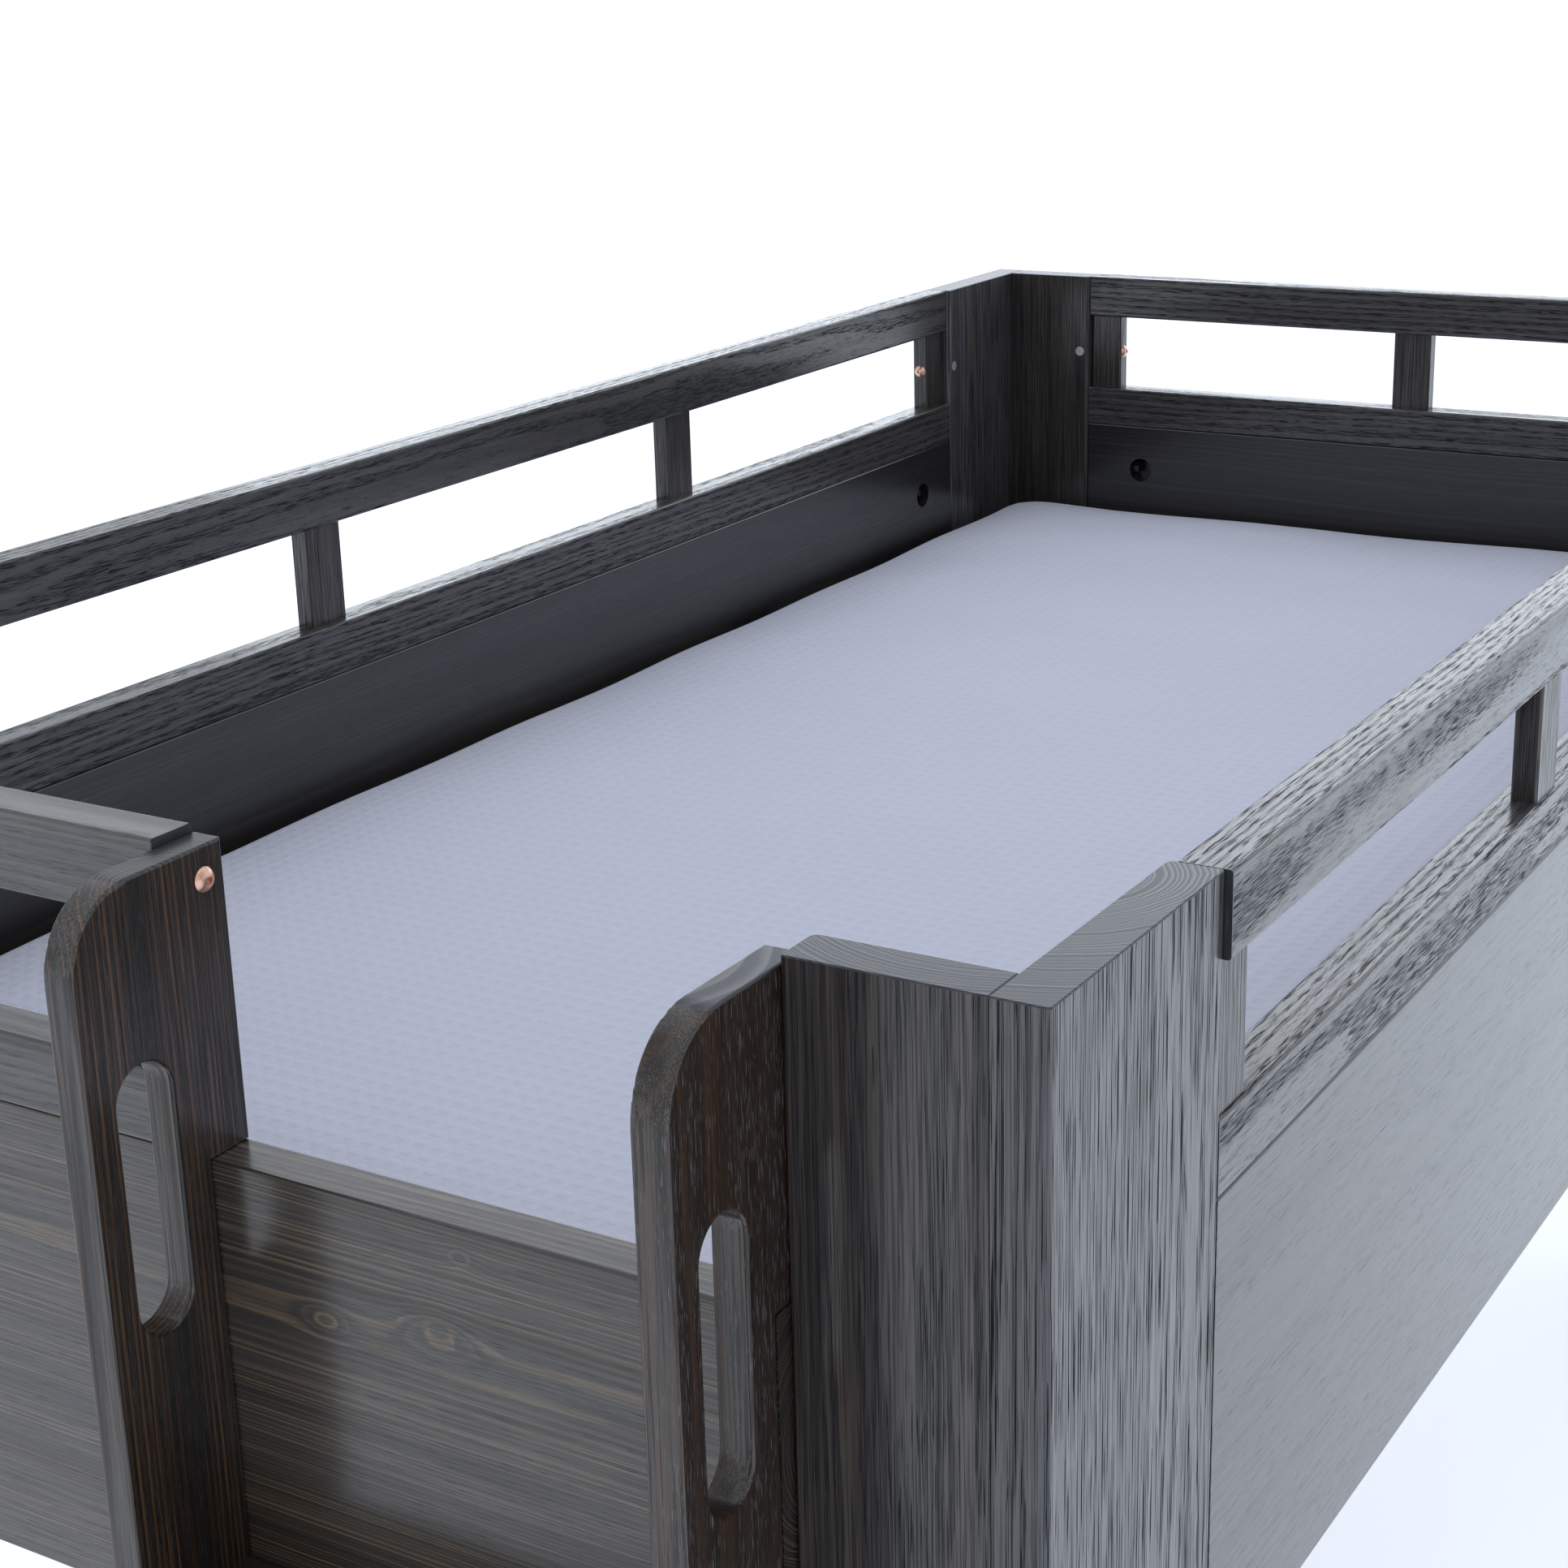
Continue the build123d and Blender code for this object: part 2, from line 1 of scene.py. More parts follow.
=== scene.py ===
"""Looks of the mid sleeper bed: stained boards, copper bolts, slatted base and mattress."""
import logging
import math
import random
from dataclasses import dataclass, field, replace
from enum import Enum
from typing import Any, Callable, Optional, Sequence, Union

import bmesh
import bpy
from bmesh.types import BMesh, BMVert
from bpy.types import Material, Mesh, Node, NodeSocket, NodeTree, Object
from mathutils import Euler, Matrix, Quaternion, Vector


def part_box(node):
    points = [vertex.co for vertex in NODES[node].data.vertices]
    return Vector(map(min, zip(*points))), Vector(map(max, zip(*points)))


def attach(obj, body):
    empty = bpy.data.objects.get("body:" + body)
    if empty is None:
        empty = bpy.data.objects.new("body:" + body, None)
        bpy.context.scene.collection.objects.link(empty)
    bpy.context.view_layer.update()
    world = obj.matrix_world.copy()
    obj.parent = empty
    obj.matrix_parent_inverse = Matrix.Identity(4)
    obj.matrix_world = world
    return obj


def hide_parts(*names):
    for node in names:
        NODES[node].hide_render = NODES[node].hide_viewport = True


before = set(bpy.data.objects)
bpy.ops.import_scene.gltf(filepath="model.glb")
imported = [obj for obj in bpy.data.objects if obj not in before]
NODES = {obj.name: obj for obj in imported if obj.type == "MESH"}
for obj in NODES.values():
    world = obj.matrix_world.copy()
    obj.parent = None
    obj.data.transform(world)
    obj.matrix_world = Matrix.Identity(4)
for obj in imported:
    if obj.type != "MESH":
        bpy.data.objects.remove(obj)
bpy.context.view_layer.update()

MM = 0.001
TURN = 2 * math.pi
ZERO = (0.0, 0.0, 0.0)
LOG = logging.getLogger("mid_sleeper_bed")

Colour = tuple[float, float, float, float]
Triple = tuple[float, float, float]
Pair = tuple[float, float]
Radius = Union[float, Callable[[float], float]]
Rows = list[tuple[Radius, float]]
Inputs = dict[Any, Any]


class Grain(Enum):
    """Direction that the grain of a board runs in, as the turn that brings it to Z."""

    ACROSS = (0.0, -math.pi / 2, 0.0)
    ALONG = (math.pi / 2, 0.0, 0.0)
    UP = ZERO

    def turned(self, way: Vector) -> Vector:
        """Turn a vector of the bed into the frame whose Z follows the grain."""
        return Euler(self.value).to_matrix() @ way


class NodeWriter:
    """Writes nodes into a tree. A socket may stand for any value, and is linked."""

    def __init__(self, tree: NodeTree) -> None:
        """Keep the tree that the nodes go into."""
        self.tree = tree

    def add(self, kind: str, inputs: Optional[Inputs] = None, **settings: Any) -> Node:
        """Add one node.

        Args:
            kind: The node's type name.
            inputs: Values or sockets for its inputs, by name or number.
            **settings: Its properties.

        Returns:
            The new node.
        """
        node = self.tree.nodes.new(kind)
        for name, value in settings.items():
            setattr(node, name, value)
        self.feed(node, inputs or {})
        return node

    def feed(self, node: Node, inputs: Inputs) -> None:
        """Link inputs of a node, or set their values.

        Args:
            node: The node.
            inputs: Values or sockets, by the input's name or number.
        """
        for key, value in inputs.items():
            if isinstance(value, NodeSocket):
                self.tree.links.new(value, node.inputs[key])
            else:
                node.inputs[key].default_value = value

    def sum(self, operation: str, first: Any, second: Any = 0.0, third: Any = 0.0) -> NodeSocket:
        """Work out one Math node."""
        return self.add("ShaderNodeMath", {0: first, 1: second, 2: third},
                        operation=operation).outputs[0]

    def times(self, first: Any, second: Any) -> NodeSocket:
        """Multiply two numbers."""
        return self.sum("MULTIPLY", first, second)

    def less(self, first: Any, second: Any) -> NodeSocket:
        """Take the second number from the first."""
        return self.sum("SUBTRACT", first, second)

    def line(self, value: Any, factor: Any, start: Any) -> NodeSocket:
        """Multiply a number by a factor and add the start."""
        return self.sum("MULTIPLY_ADD", value, factor, start)

    def vector(self, operation: str, first: Any, second: Any = ZERO, third: Any = ZERO) -> Node:
        """Work out one Vector Math node, which has the outputs Vector and Value."""
        return self.add("ShaderNodeVectorMath", {0: first, 1: second, 2: third},
                        operation=operation)

    def ramp(self, value: Any, low: float, high: float, start: float = 0.0,
             end: float = 1.0) -> NodeSocket:
        """Map a value smoothly from the range low to high to the range start to end."""
        return self.add("ShaderNodeMapRange", {"Value": value, 1: low, 2: high, 3: start, 4: end},
                        interpolation_type="SMOOTHSTEP").outputs[0]

    def stretched(self, vector: Any, scale: Any, shift: Any = ZERO) -> NodeSocket:
        """Scale a vector along its axes, then shift it."""
        return self.vector("MULTIPLY_ADD", vector, scale, shift).outputs[0]

    def joined(self, x: Any, y: Any = 0.0, z: Any = 0.0) -> NodeSocket:
        """Join three numbers to a vector."""
        return self.add("ShaderNodeCombineXYZ", {0: x, 1: y, 2: z}).outputs[0]

    def noise(self, vector: Any, scale: float, detail: float = 2.0,
              roughness: float = 0.5) -> NodeSocket:
        """Read a noise by its features a metre, its octaves and the strength of each next one."""
        return self.add("ShaderNodeTexNoise", {
            "Vector": vector, "Scale": scale, "Detail": detail,
            "Roughness": roughness}).outputs[0]

    def mix(self, share: Any, first: Any, second: Any) -> NodeSocket:
        """Mix two colours, the second by its share."""
        return self.add("ShaderNodeMix", {0: share, 6: first, 7: second},
                        data_type="RGBA").outputs[2]

    def bump(self, height: Any, strength: float, depth: float, **start: Any) -> NodeSocket:
        """Add a Bump node of a depth in metres, from another Normal where one is given."""
        return self.add("ShaderNodeBump", {
            "Height": height, "Strength": strength, "Distance": depth, **start}).outputs[0]


NUMBER, WHOLE, VECTOR = "NodeSocketFloat", "NodeSocketInt", "NodeSocketVector"
SHAPE, SOURCE, FINISH = "NodeSocketGeometry", "NodeSocketObject", "NodeSocketMaterial"
# Inputs of the grain group that a WoodFinish holds, each in the field of the same name.
FIGURE = ("Ring Pitch", "Waviness", "Pore Length", "Pore Width", "Pore Flatness", "Pore Level",
          "Early Pores")


class GroupWriter(NodeWriter):
    """Writes a node group with named sockets."""

    def __init__(self, kind: str, name: str, inputs: dict[str, Sequence[str]],
                 outputs: dict[str, Sequence[str]]) -> None:
        """Make the group and its input node.

        Args:
            kind: The tree's type name.
            name: The group's name.
            inputs: Names of its inputs, by type of socket.
            outputs: Names of its outputs, by type of socket.
        """
        super().__init__(bpy.data.node_groups.new(name, kind))
        for way, sockets in (("INPUT", inputs), ("OUTPUT", outputs)):
            for socket, labels in sockets.items():
                for label in labels:
                    self.tree.interface.new_socket(label, in_out=way, socket_type=socket)
        self.given = self.add("NodeGroupInput").outputs

    def close(self, outputs: Inputs) -> NodeTree:
        """Put values out, by output, and hand the group over."""
        self.add("NodeGroupOutput", outputs)
        return self.tree


@dataclass
class EffectGroups:
    """Shader groups for the effects that several materials share.

    The ring wobble is in metres. The pore edge is how much of the noise a pore's rim takes.
    """

    seed_step: float = 7.31
    ring_wobble: float = 2.2 * MM
    pore_edge: float = 0.032

    def __post_init__(self) -> None:
        """Build every group once."""
        self.grain = self.build_grain()
        self.knot = self.build_knot()
        self.weave = self.build_weave()

    def build_grain(self) -> NodeTree:
        """Build growth rings, streaks, fibres and pores of a board whose grain runs along Z.

        Returns:
            The group. Its vector has the tree's heart at X = Y = 0.
        """
        write = GroupWriter(
            "ShaderNodeTree", "board_grain",
            {VECTOR: ["Vector"], NUMBER: ["Bulge", *FIGURE, "Seed"]},
            {NUMBER: ["Late Wood", "Ring Tone", "Streak", "Fibre", "Pore"]})
        given = write.given
        vector = given["Vector"]
        seed = write.times(given["Seed"], self.seed_step)
        shift = write.joined(seed, seed, seed)
        slow, quick, streak, fibre = (
            write.noise(write.stretched(vector, (1.0, 1.0, draw), shift), *reading)
            for draw, *reading in ((0.16, 7.0, 3.0, 0.55), (0.05, 70.0, 2.0, 0.5),
                                   (0.025, 42.0, 4.0, 0.6), (0.012, 900.0, 2.0, 0.6)))
        reach = write.vector("LENGTH", write.stretched(vector, (1.0, 1.0, 0.0)))
        bend = write.times(write.less(slow, 0.5), given["Waviness"])
        wobble = write.times(write.less(quick, 0.5), self.ring_wobble)
        radius = write.sum("ADD", write.sum("ADD", reach.outputs["Value"], bend), wobble)
        rings = write.sum("DIVIDE", write.less(radius, given["Bulge"]), given["Ring Pitch"])
        rings = write.line(write.noise(write.joined(rings, seed), 0.31, 1.0), 3.0, rings)
        share = write.sum("FRACT", rings)
        late = write.times(write.ramp(share, 0.25, 0.9), write.ramp(share, 0.91, 1.0, 1.0, 0.0))
        tone = write.add("ShaderNodeTexWhiteNoise", {
            "W": write.sum("ADD", write.sum("FLOOR", rings), seed)}, noise_dimensions="1D")
        across = write.sum("DIVIDE", 1.0, given["Pore Width"])
        along = write.sum("DIVIDE", 1.0, given["Pore Length"])
        deep = write.times(across, given["Pore Flatness"])
        dash = write.stretched(vector, write.joined(deep, across, along), shift)
        early = write.ramp(share, 0.4, 0.65, 0.5, -0.5)
        crowd = write.line(early, given["Early Pores"], write.noise(dash, 1.0, 1.0))
        pore = write.sum("DIVIDE", write.less(crowd, given["Pore Level"]), self.pore_edge)
        return write.close({"Late Wood": late, "Ring Tone": tone.outputs[0], "Streak": streak,
                            "Fibre": fibre, "Pore": write.ramp(pore, 0.0, 1.0)})

    def build_knot(self) -> NodeTree:
        """Build a knot, which the rings bulge round.

        Returns:
            The group, with how far the rings are pushed, the core and the rim.
        """
        write = GroupWriter(
            "ShaderNodeTree", "knot", {VECTOR: ["Vector", "Place", "Axis"], NUMBER: ["Size"]},
            {NUMBER: ["Bulge", "Core", "Rim"]})
        given = write.given
        away = write.vector("SUBTRACT", given["Vector"], given["Place"]).outputs[0]
        deep = write.vector("DOT_PRODUCT", away, given["Axis"]).outputs["Value"]
        back = write.vector("SCALE", given["Axis"])
        write.feed(back, {"Scale": write.times(deep, -1.0)})
        flat = write.vector("ADD", away, back.outputs[0]).outputs[0]
        reach = write.vector("LENGTH", write.stretched(flat, (1.0, 1.0, 0.6)))
        wobble = write.line(write.noise(given["Vector"], 60.0), 0.5, 0.75)
        far = write.sum("DIVIDE", write.times(reach.outputs["Value"], wobble), given["Size"])
        fade = write.sum("EXPONENT", write.times(write.times(far, far), -0.25))
        return write.close({
            "Bulge": write.times(write.times(fade, given["Size"]), 0.7),
            "Core": write.ramp(far, 1.0, 0.5),
            "Rim": write.times(write.ramp(far, 0.5, 0.8), write.ramp(far, 0.9, 1.25, 1.0, 0.0))})

    def build_weave(self) -> NodeTree:
        """Build a square knit of soft bumps with fine threads.

        Returns:
            The group, with the bumps' height, the threads and the fuzz.
        """
        write = GroupWriter(
            "ShaderNodeTree", "square_knit", {VECTOR: ["Vector"], NUMBER: ["Cell", "Thread"]},
            {NUMBER: ["Height", "Threads", "Fuzz"]})
        given = write.given
        parts = write.add("ShaderNodeSeparateXYZ", {0: given["Vector"]}).outputs
        waves, threads = (
            [write.sum(wave, write.sum("DIVIDE", write.times(part, TURN), given[pitch]))
             for part in parts[:2]] for wave, pitch in (("COSINE", "Cell"), ("SINE", "Thread")))
        return write.close({
            "Height": write.ramp(write.sum("MAXIMUM", *waves), -0.6, 1.0),
            "Threads": write.line(write.times(*threads), 0.5, 0.5),
            "Fuzz": write.noise(given["Vector"], 350.0, 3.0, 0.6)})


# Near black of the stain in open pores; on the planks' end grain it is also painted shade.
STAIN_AND_GAP_SHADE_BLACK: Colour = (0.004, 0.004, 0.005, 1.0)
SLATE: Colour = (0.022, 0.027, 0.037, 1.0)


@dataclass(frozen=True)
class WoodFinish:
    """Stain, lacquer and figure of one kind of board.

    Lengths are in metres. The lacquer's own share is lost in pores and in dull streaks. The
    flatness says how many times narrower a pore is along X than along Y.
    """

    dark: Colour
    middle: Colour
    stripe: Colour
    ring_pitch: float
    waviness: float
    stripe_share: float
    pore_share: float
    pore_length: float
    pore_level: float
    early_pores: float
    line_share: float
    dull_share: float
    pore_width: float = 0.4 * MM
    pore_flatness: float = 1.0
    # Stain in open pores; on the ladder's side boards a whitish painted glint of the lacquer.
    pore_and_painted_glint_colour: Colour = STAIN_AND_GAP_SHADE_BLACK
    end_colour: Colour = SLATE
    coat_share: float = 1.0
    roughness: float = 0.42


@dataclass(frozen=True)
class Knot:
    """Knot in a board, at a place of the bed, with the direction that its branch ran in."""

    place: Triple
    size: float
    axis: Triple = (0.0, 1.0, 0.0)


@dataclass(frozen=True)
class MetalFinish:
    """Plating with dull patches."""

    colour: Colour
    tarnish: Colour
    roughness: float


@dataclass(frozen=True)
class ClothFinish:
    """Knitted or woven cloth, with its pitches and relief in metres."""

    colour: Colour
    # Dark end of the colour mix: darker threads and clouds, and painted shade in the hollows of
    # the relief.
    shade: Colour
    cell: float
    thread: float
    relief: float


@dataclass(frozen=True)
class PlasticFinish:
    """Matt moulded plastic."""

    colour: Colour
    pale: Colour


POST_FINISH = WoodFinish(
    dark=(0.008, 0.0068, 0.007, 1.0), middle=(0.037, 0.03, 0.028, 1.0),
    stripe=(0.13, 0.09, 0.06, 1.0), ring_pitch=0.0026, waviness=0.012, stripe_share=0.5,
    pore_share=0.9, pore_length=0.045, pore_level=0.59, early_pores=0.08, line_share=0.65,
    dull_share=0.3)
# Side boards of the posts: long thin flat pores of their own figure, and a blue-grey middle tone,
# lighter than the end boards', that is painted sheen of the lacquer on the sideways faces.
SIDE_FINISH_WITH_PAINTED_SHEEN = replace(
    POST_FINISH, dark=(0.01, 0.01, 0.011, 1.0), middle=(0.075, 0.077, 0.088, 1.0),
    pore_length=0.06, pore_width=0.0008, pore_level=0.575, pore_share=1.0, early_pores=0.14,
    line_share=0.35, dull_share=0.05, pore_flatness=2.4)
RAIL_FINISH = WoodFinish(
    dark=(0.014, 0.0135, 0.015, 1.0), middle=(0.058, 0.054, 0.053, 1.0),
    stripe=(0.1, 0.085, 0.07, 1.0), ring_pitch=0.007, waviness=0.03, stripe_share=0.35,
    pore_share=0.9, pore_length=0.016, pore_width=0.00048, pore_level=0.555, early_pores=0.15,
    line_share=0.25, dull_share=0.25)
CALM_RAIL_FINISH = replace(
    RAIL_FINISH, middle=(0.062, 0.056, 0.05, 1.0), stripe=(0.14, 0.115, 0.085, 1.0),
    stripe_share=0.5, pore_share=0.35, pore_level=0.6, line_share=0.2, dull_share=0.3)
# The planks' end grain is near black: the stain, and painted shade for the narrow gap between the
# ladder's right side board and the post, where the entry plank's end shows.
PLANK_FINISH = WoodFinish(
    dark=(0.0045, 0.004, 0.0042, 1.0), middle=(0.0125, 0.011, 0.0112, 1.0),
    stripe=(0.055, 0.044, 0.034, 1.0), end_colour=STAIN_AND_GAP_SHADE_BLACK, ring_pitch=0.0048,
    waviness=0.026, stripe_share=0.35, pore_share=0.5, pore_length=0.02, pore_level=0.66,
    early_pores=0.05, line_share=0.15, dull_share=0.08, roughness=0.38)
ENTRY_FINISH = replace(
    PLANK_FINISH, dark=(0.0135, 0.011, 0.01, 1.0), middle=(0.045, 0.035, 0.03, 1.0),
    stripe=(0.19, 0.13, 0.072, 1.0), ring_pitch=0.0022, waviness=0.008, stripe_share=0.85,
    line_share=0.3, dull_share=0.2)
# The ladder's side boards, and LEFT_FINISH after them, have whitish grey pores: painted glints of
# the lacquer, not a colour of the wood.
STRINGER_FINISH = WoodFinish(
    dark=(0.003, 0.0024, 0.0024, 1.0), middle=(0.028, 0.011, 0.0035, 1.0),
    stripe=(0.07, 0.03, 0.009, 1.0), pore_and_painted_glint_colour=(0.34, 0.33, 0.34, 1.0), ring_pitch=0.011,
    waviness=0.016, stripe_share=0.65, pore_share=0.65, pore_length=0.014, pore_width=0.0003,
    pore_level=0.675, early_pores=0.04, line_share=0.6, dull_share=0.6, coat_share=0.9,
    roughness=0.4)
LEFT_FINISH = replace(
    STRINGER_FINISH, middle=(0.018, 0.0145, 0.0125, 1.0), stripe=(0.15, 0.068, 0.024, 1.0),
    ring_pitch=0.0034, stripe_share=0.85, pore_share=0.15)
SLAT_FINISH = WoodFinish(
    dark=(0.40, 0.26, 0.14, 1.0), middle=(0.55, 0.39, 0.23, 1.0),
    stripe=(0.36, 0.20, 0.09, 1.0), pore_and_painted_glint_colour=(0.25, 0.14, 0.07, 1.0),
    end_colour=(0.42, 0.29, 0.17, 1.0), ring_pitch=0.0046, waviness=0.02, stripe_share=0.55,
    pore_share=0.4, pore_length=0.012, pore_level=0.66, early_pores=0.05, line_share=0.15,
    dull_share=0.1, coat_share=0.0, roughness=0.62)

COPPER = MetalFinish((0.78, 0.47, 0.36, 1.0), (0.46, 0.25, 0.18, 1.0), 0.26)
ZINC = MetalFinish((0.66, 0.67, 0.69, 1.0), (0.45, 0.46, 0.49, 1.0), 0.32)
BLACK_STEEL = MetalFinish((0.10, 0.10, 0.11, 1.0), (0.04, 0.04, 0.045, 1.0), 0.4)

WAFFLE_KNIT = ClothFinish((0.645, 0.645, 0.755, 1.0), (0.57, 0.575, 0.68, 1.0), 0.0145, 0.0013,
                          0.0007)
WEBBING = ClothFinish((0.72, 0.69, 0.60, 1.0), (0.42, 0.39, 0.32, 1.0), 0.004, 0.002, 0.0004)
GLIDE_PLASTIC = PlasticFinish((0.020, 0.020, 0.022, 1.0), (0.045, 0.045, 0.048, 1.0))


def emptied(owner: Union[Material, bpy.types.World]) -> NodeWriter:
    """Turn nodes on in a material or a world and clear them.

    Args:
        owner: The material or world.

    Returns:
        A writer for its tree.
    """
    owner.use_nodes = True
    owner.node_tree.nodes.clear()
    return NodeWriter(owner.node_tree)


def box(node: str) -> tuple[Vector, Vector]:
    """Lower and upper corner of a CAD node."""
    low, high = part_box(node)
    return Vector(low), Vector(high)


@dataclass
class MaterialShop:
    """Makes the materials, each from its finish and the shared groups."""

    groups: EffectGroups = field(default_factory=EffectGroups)
    seeds: float = 50.0
    end_rim: float = 0.8 * MM
    coat_roughness: float = 0.2
    coat_ior: float = 1.6
    wood_shine: float = 0.2
    cloth_sheen: float = 0.15

    def start(self, name: str) -> tuple[Material, NodeWriter, Node, NodeSocket]:
        """Open a material with one shader.

        Args:
            name: The material's name.

        Returns:
            The material, its writer, its shader and the place on the object.
        """
        material = bpy.data.materials.new(name)
        write = emptied(material)
        shader = write.add("ShaderNodeBsdfPrincipled")
        write.add("ShaderNodeOutputMaterial", {"Surface": shader.outputs[0]})
        return material, write, shader, write.add("ShaderNodeTexCoord").outputs["Object"]

    def wood(self, name: str, finish: WoodFinish, grain: Grain, offset: Sequence[float],
             chance: random.Random, knots: Sequence[Knot] = (),
             piece: Optional[Object] = None) -> None:
        """Dress one board in wood, with its own place in the tree.

        Args:
            name: The board's node, whose box gives its middle and its length.
            finish: Its stain, lacquer and figure.
            grain: The direction of its grain.
            offset: Where the tree's heart lies from the board's middle.
            chance: The board's own random draws.
            knots: The board's knots.
            piece: The object to dress, if it isn't the node.
        """
        low, high = box(name)
        heart = (low + high) / 2 + Vector(offset)
        axis = list(Grain).index(grain)
        half = (high[axis] - low[axis]) / 2
        material, write, shader, place = self.start(f"{name}_wood")
        middle = write.add("ShaderNodeMapping", {"Vector": place, "Location": -heart})
        vector = write.add("ShaderNodeMapping", {
            "Vector": middle.outputs[0], "Rotation": grain.value}).outputs[0]
        wood = write.add("ShaderNodeGroup", {
            "Vector": vector, "Seed": chance.uniform(0.0, self.seeds)},
            node_tree=self.groups.grain)
        write.feed(wood, {label: getattr(finish, label.lower().replace(" ", "_"))
                          for label in FIGURE})
        late, tone, streak, fibre, pore = wood.outputs
        level = write.add("ShaderNodeSeparateXYZ", {0: vector}).outputs[2]
        end = write.ramp(write.sum("ABSOLUTE", level), half - self.end_rim * 1.5,
                         half - self.end_rim)
        side = write.less(1.0, end)
        pore = write.times(pore, side)
        stained = write.mix(write.ramp(streak, 0.28, 0.7, 0.35, 1.0), finish.dark, finish.middle)
        stained = write.mix(write.times(end, 0.8), stained, finish.end_colour)
        stripe = write.times(late, write.ramp(tone, 0.1, 0.95, 0.25, 1.0))
        stripe = write.times(stripe, write.ramp(fibre, 0.3, 0.7, 0.55, 1.0))
        stripe = write.times(stripe, write.ramp(
            end, 0.0, 1.0, finish.stripe_share, finish.stripe_share * 0.6))
        colour = write.mix(stripe, stained, finish.stripe)
        line = write.times(write.ramp(fibre, 0.53, 0.42, 0.0, finish.line_share), side)
        colour = write.mix(line, colour, finish.dark)
        bulge: Any = 0.0
        for knot in knots:
            push, core, rim = write.add("ShaderNodeGroup", {
                "Vector": vector, "Size": knot.size,
                "Place": grain.turned(Vector(knot.place) - heart),
                "Axis": grain.turned(Vector(knot.axis))}, node_tree=self.groups.knot).outputs
            bulge = write.sum("ADD", push, bulge)
            colour = write.mix(write.times(core, 0.5), colour, finish.dark)
            colour = write.mix(write.times(rim, 0.3), colour, finish.stripe)
        write.feed(wood, {"Bulge": bulge})
        open_pore = write.times(pore, finish.pore_share)
        dullness_and_painted_shade = write.less(write.ramp(streak, 0.5, 0.34, 0.0, finish.dull_share), end)
        dull = write.sum("MAXIMUM", write.sum("MAXIMUM", open_pore, dullness_and_painted_shade), write.times(line, 0.7))
        rough = write.line(dull, 0.3, finish.roughness)
        height = write.line(pore, -0.6, write.times(fibre, 0.25))
        # Open pores take the pore colour: the stain's black, and on the ladder's side boards a
        # painted glint.
        write.feed(shader, {
            "Base Color": write.mix(open_pore, colour, finish.pore_and_painted_glint_colour),
            "Roughness": write.line(write.less(fibre, 0.5), 0.2, rough),
            "Normal": write.bump(height, 0.35, 0.4 * MM)})
        if finish.coat_share:
            coat = write.line(dull, -finish.coat_share, finish.coat_share)
            loss = write.line(late, 0.4, -0.75)
            write.feed(shader, {
                "Coat Weight": write.times(coat, write.line(end, loss, 1.0)),
                "Coat Roughness": self.coat_roughness, "Coat IOR": self.coat_ior,
                "Specular IOR Level": self.wood_shine})
        dress(piece or NODES[name], material)

    def metal(self, name: str, finish: MetalFinish) -> Material:
        """Make a plated metal.

        Args:
            name: The material's name.
            finish: Its plating.

        Returns:
            The material.
        """
        material, write, shader, place = self.start(name)
        grit = write.noise(place, 2600.0, 2.0, 0.6)
        dull = write.ramp(write.noise(place, 260.0, 3.0, 0.6), 0.45, 0.75)
        write.feed(shader, {
            "Base Color": write.mix(dull, finish.colour, finish.tarnish), "Metallic": 1.0,
            "Roughness": write.line(grit, 0.12, write.line(dull, 0.18, finish.roughness)),
            "Normal": write.bump(grit, 0.15, 0.1 * MM)})
        return material

    def cloth(self, name: str, finish: ClothFinish) -> Material:
        """Make a knitted or woven cloth.

        Args:
            name: The material's name.
            finish: Its yarns and relief.

        Returns:
            The material.
        """
        material, write, shader, place = self.start(name)
        height, threads, fuzz = write.add(
            "ShaderNodeGroup", {"Vector": place, "Cell": finish.cell, "Thread": finish.thread},
            node_tree=self.groups.weave).outputs
        cloud = write.ramp(write.noise(place, 3.0, 3.0), 0.3, 0.7)
        # The cells' height lightens their tops and darkens their hollows: painted shade. The
        # threads and the slow clouds vary the knit's own tone.
        dullness_and_painted_shade = write.line(threads, 0.15, write.times(height, 0.25))
        bumps = write.bump(height, 0.6, finish.relief)
        write.feed(shader, {
            "Base Color": write.mix(write.line(cloud, 0.3, dullness_and_painted_shade), finish.shade, finish.colour),
            "Roughness": write.line(fuzz, 0.2, 0.75), "Sheen Weight": self.cloth_sheen,
            "Normal": write.bump(write.line(fuzz, 0.6, threads), 0.35, 0.3 * MM, Normal=bumps)})
        return material

    def plastic(self, name: str, finish: PlasticFinish) -> Material:
        """Make a matt moulded plastic.

        Args:
            name: The material's name.
            finish: Its colours.

        Returns:
            The material.
        """
        material, write, shader, place = self.start(name)
        grit = write.noise(place, 1800.0, 2.0)
        write.feed(shader, {
            "Base Color": write.mix(write.ramp(grit, 0.3, 0.8), finish.colour, finish.pale),
            "Roughness": write.line(grit, 0.2, 0.45),
            "Normal": write.bump(grit, 0.2, 0.1 * MM)})
        return material


def dress(piece: Object, material: Material) -> None:
    """Give a piece or a CAD node its one material.

    Args:
        piece: The object to dress.
        material: Its material.
    """
    if not piece.data.materials:
        piece.data.materials.append(material)
    for slot in piece.material_slots:
        slot.material = material
    LOG.info("dressed %s in %s", piece.name, material.name)


def new_object(name: str, data: bpy.types.ID) -> Object:
    """Put a mesh, a lamp or a camera into the scene.

    Args:
        name: The object's name.
        data: What it shows.

    Returns:
        The object, at the origin.
    """
    piece = bpy.data.objects.new(name, data)
    bpy.context.scene.collection.objects.link(piece)
    return piece


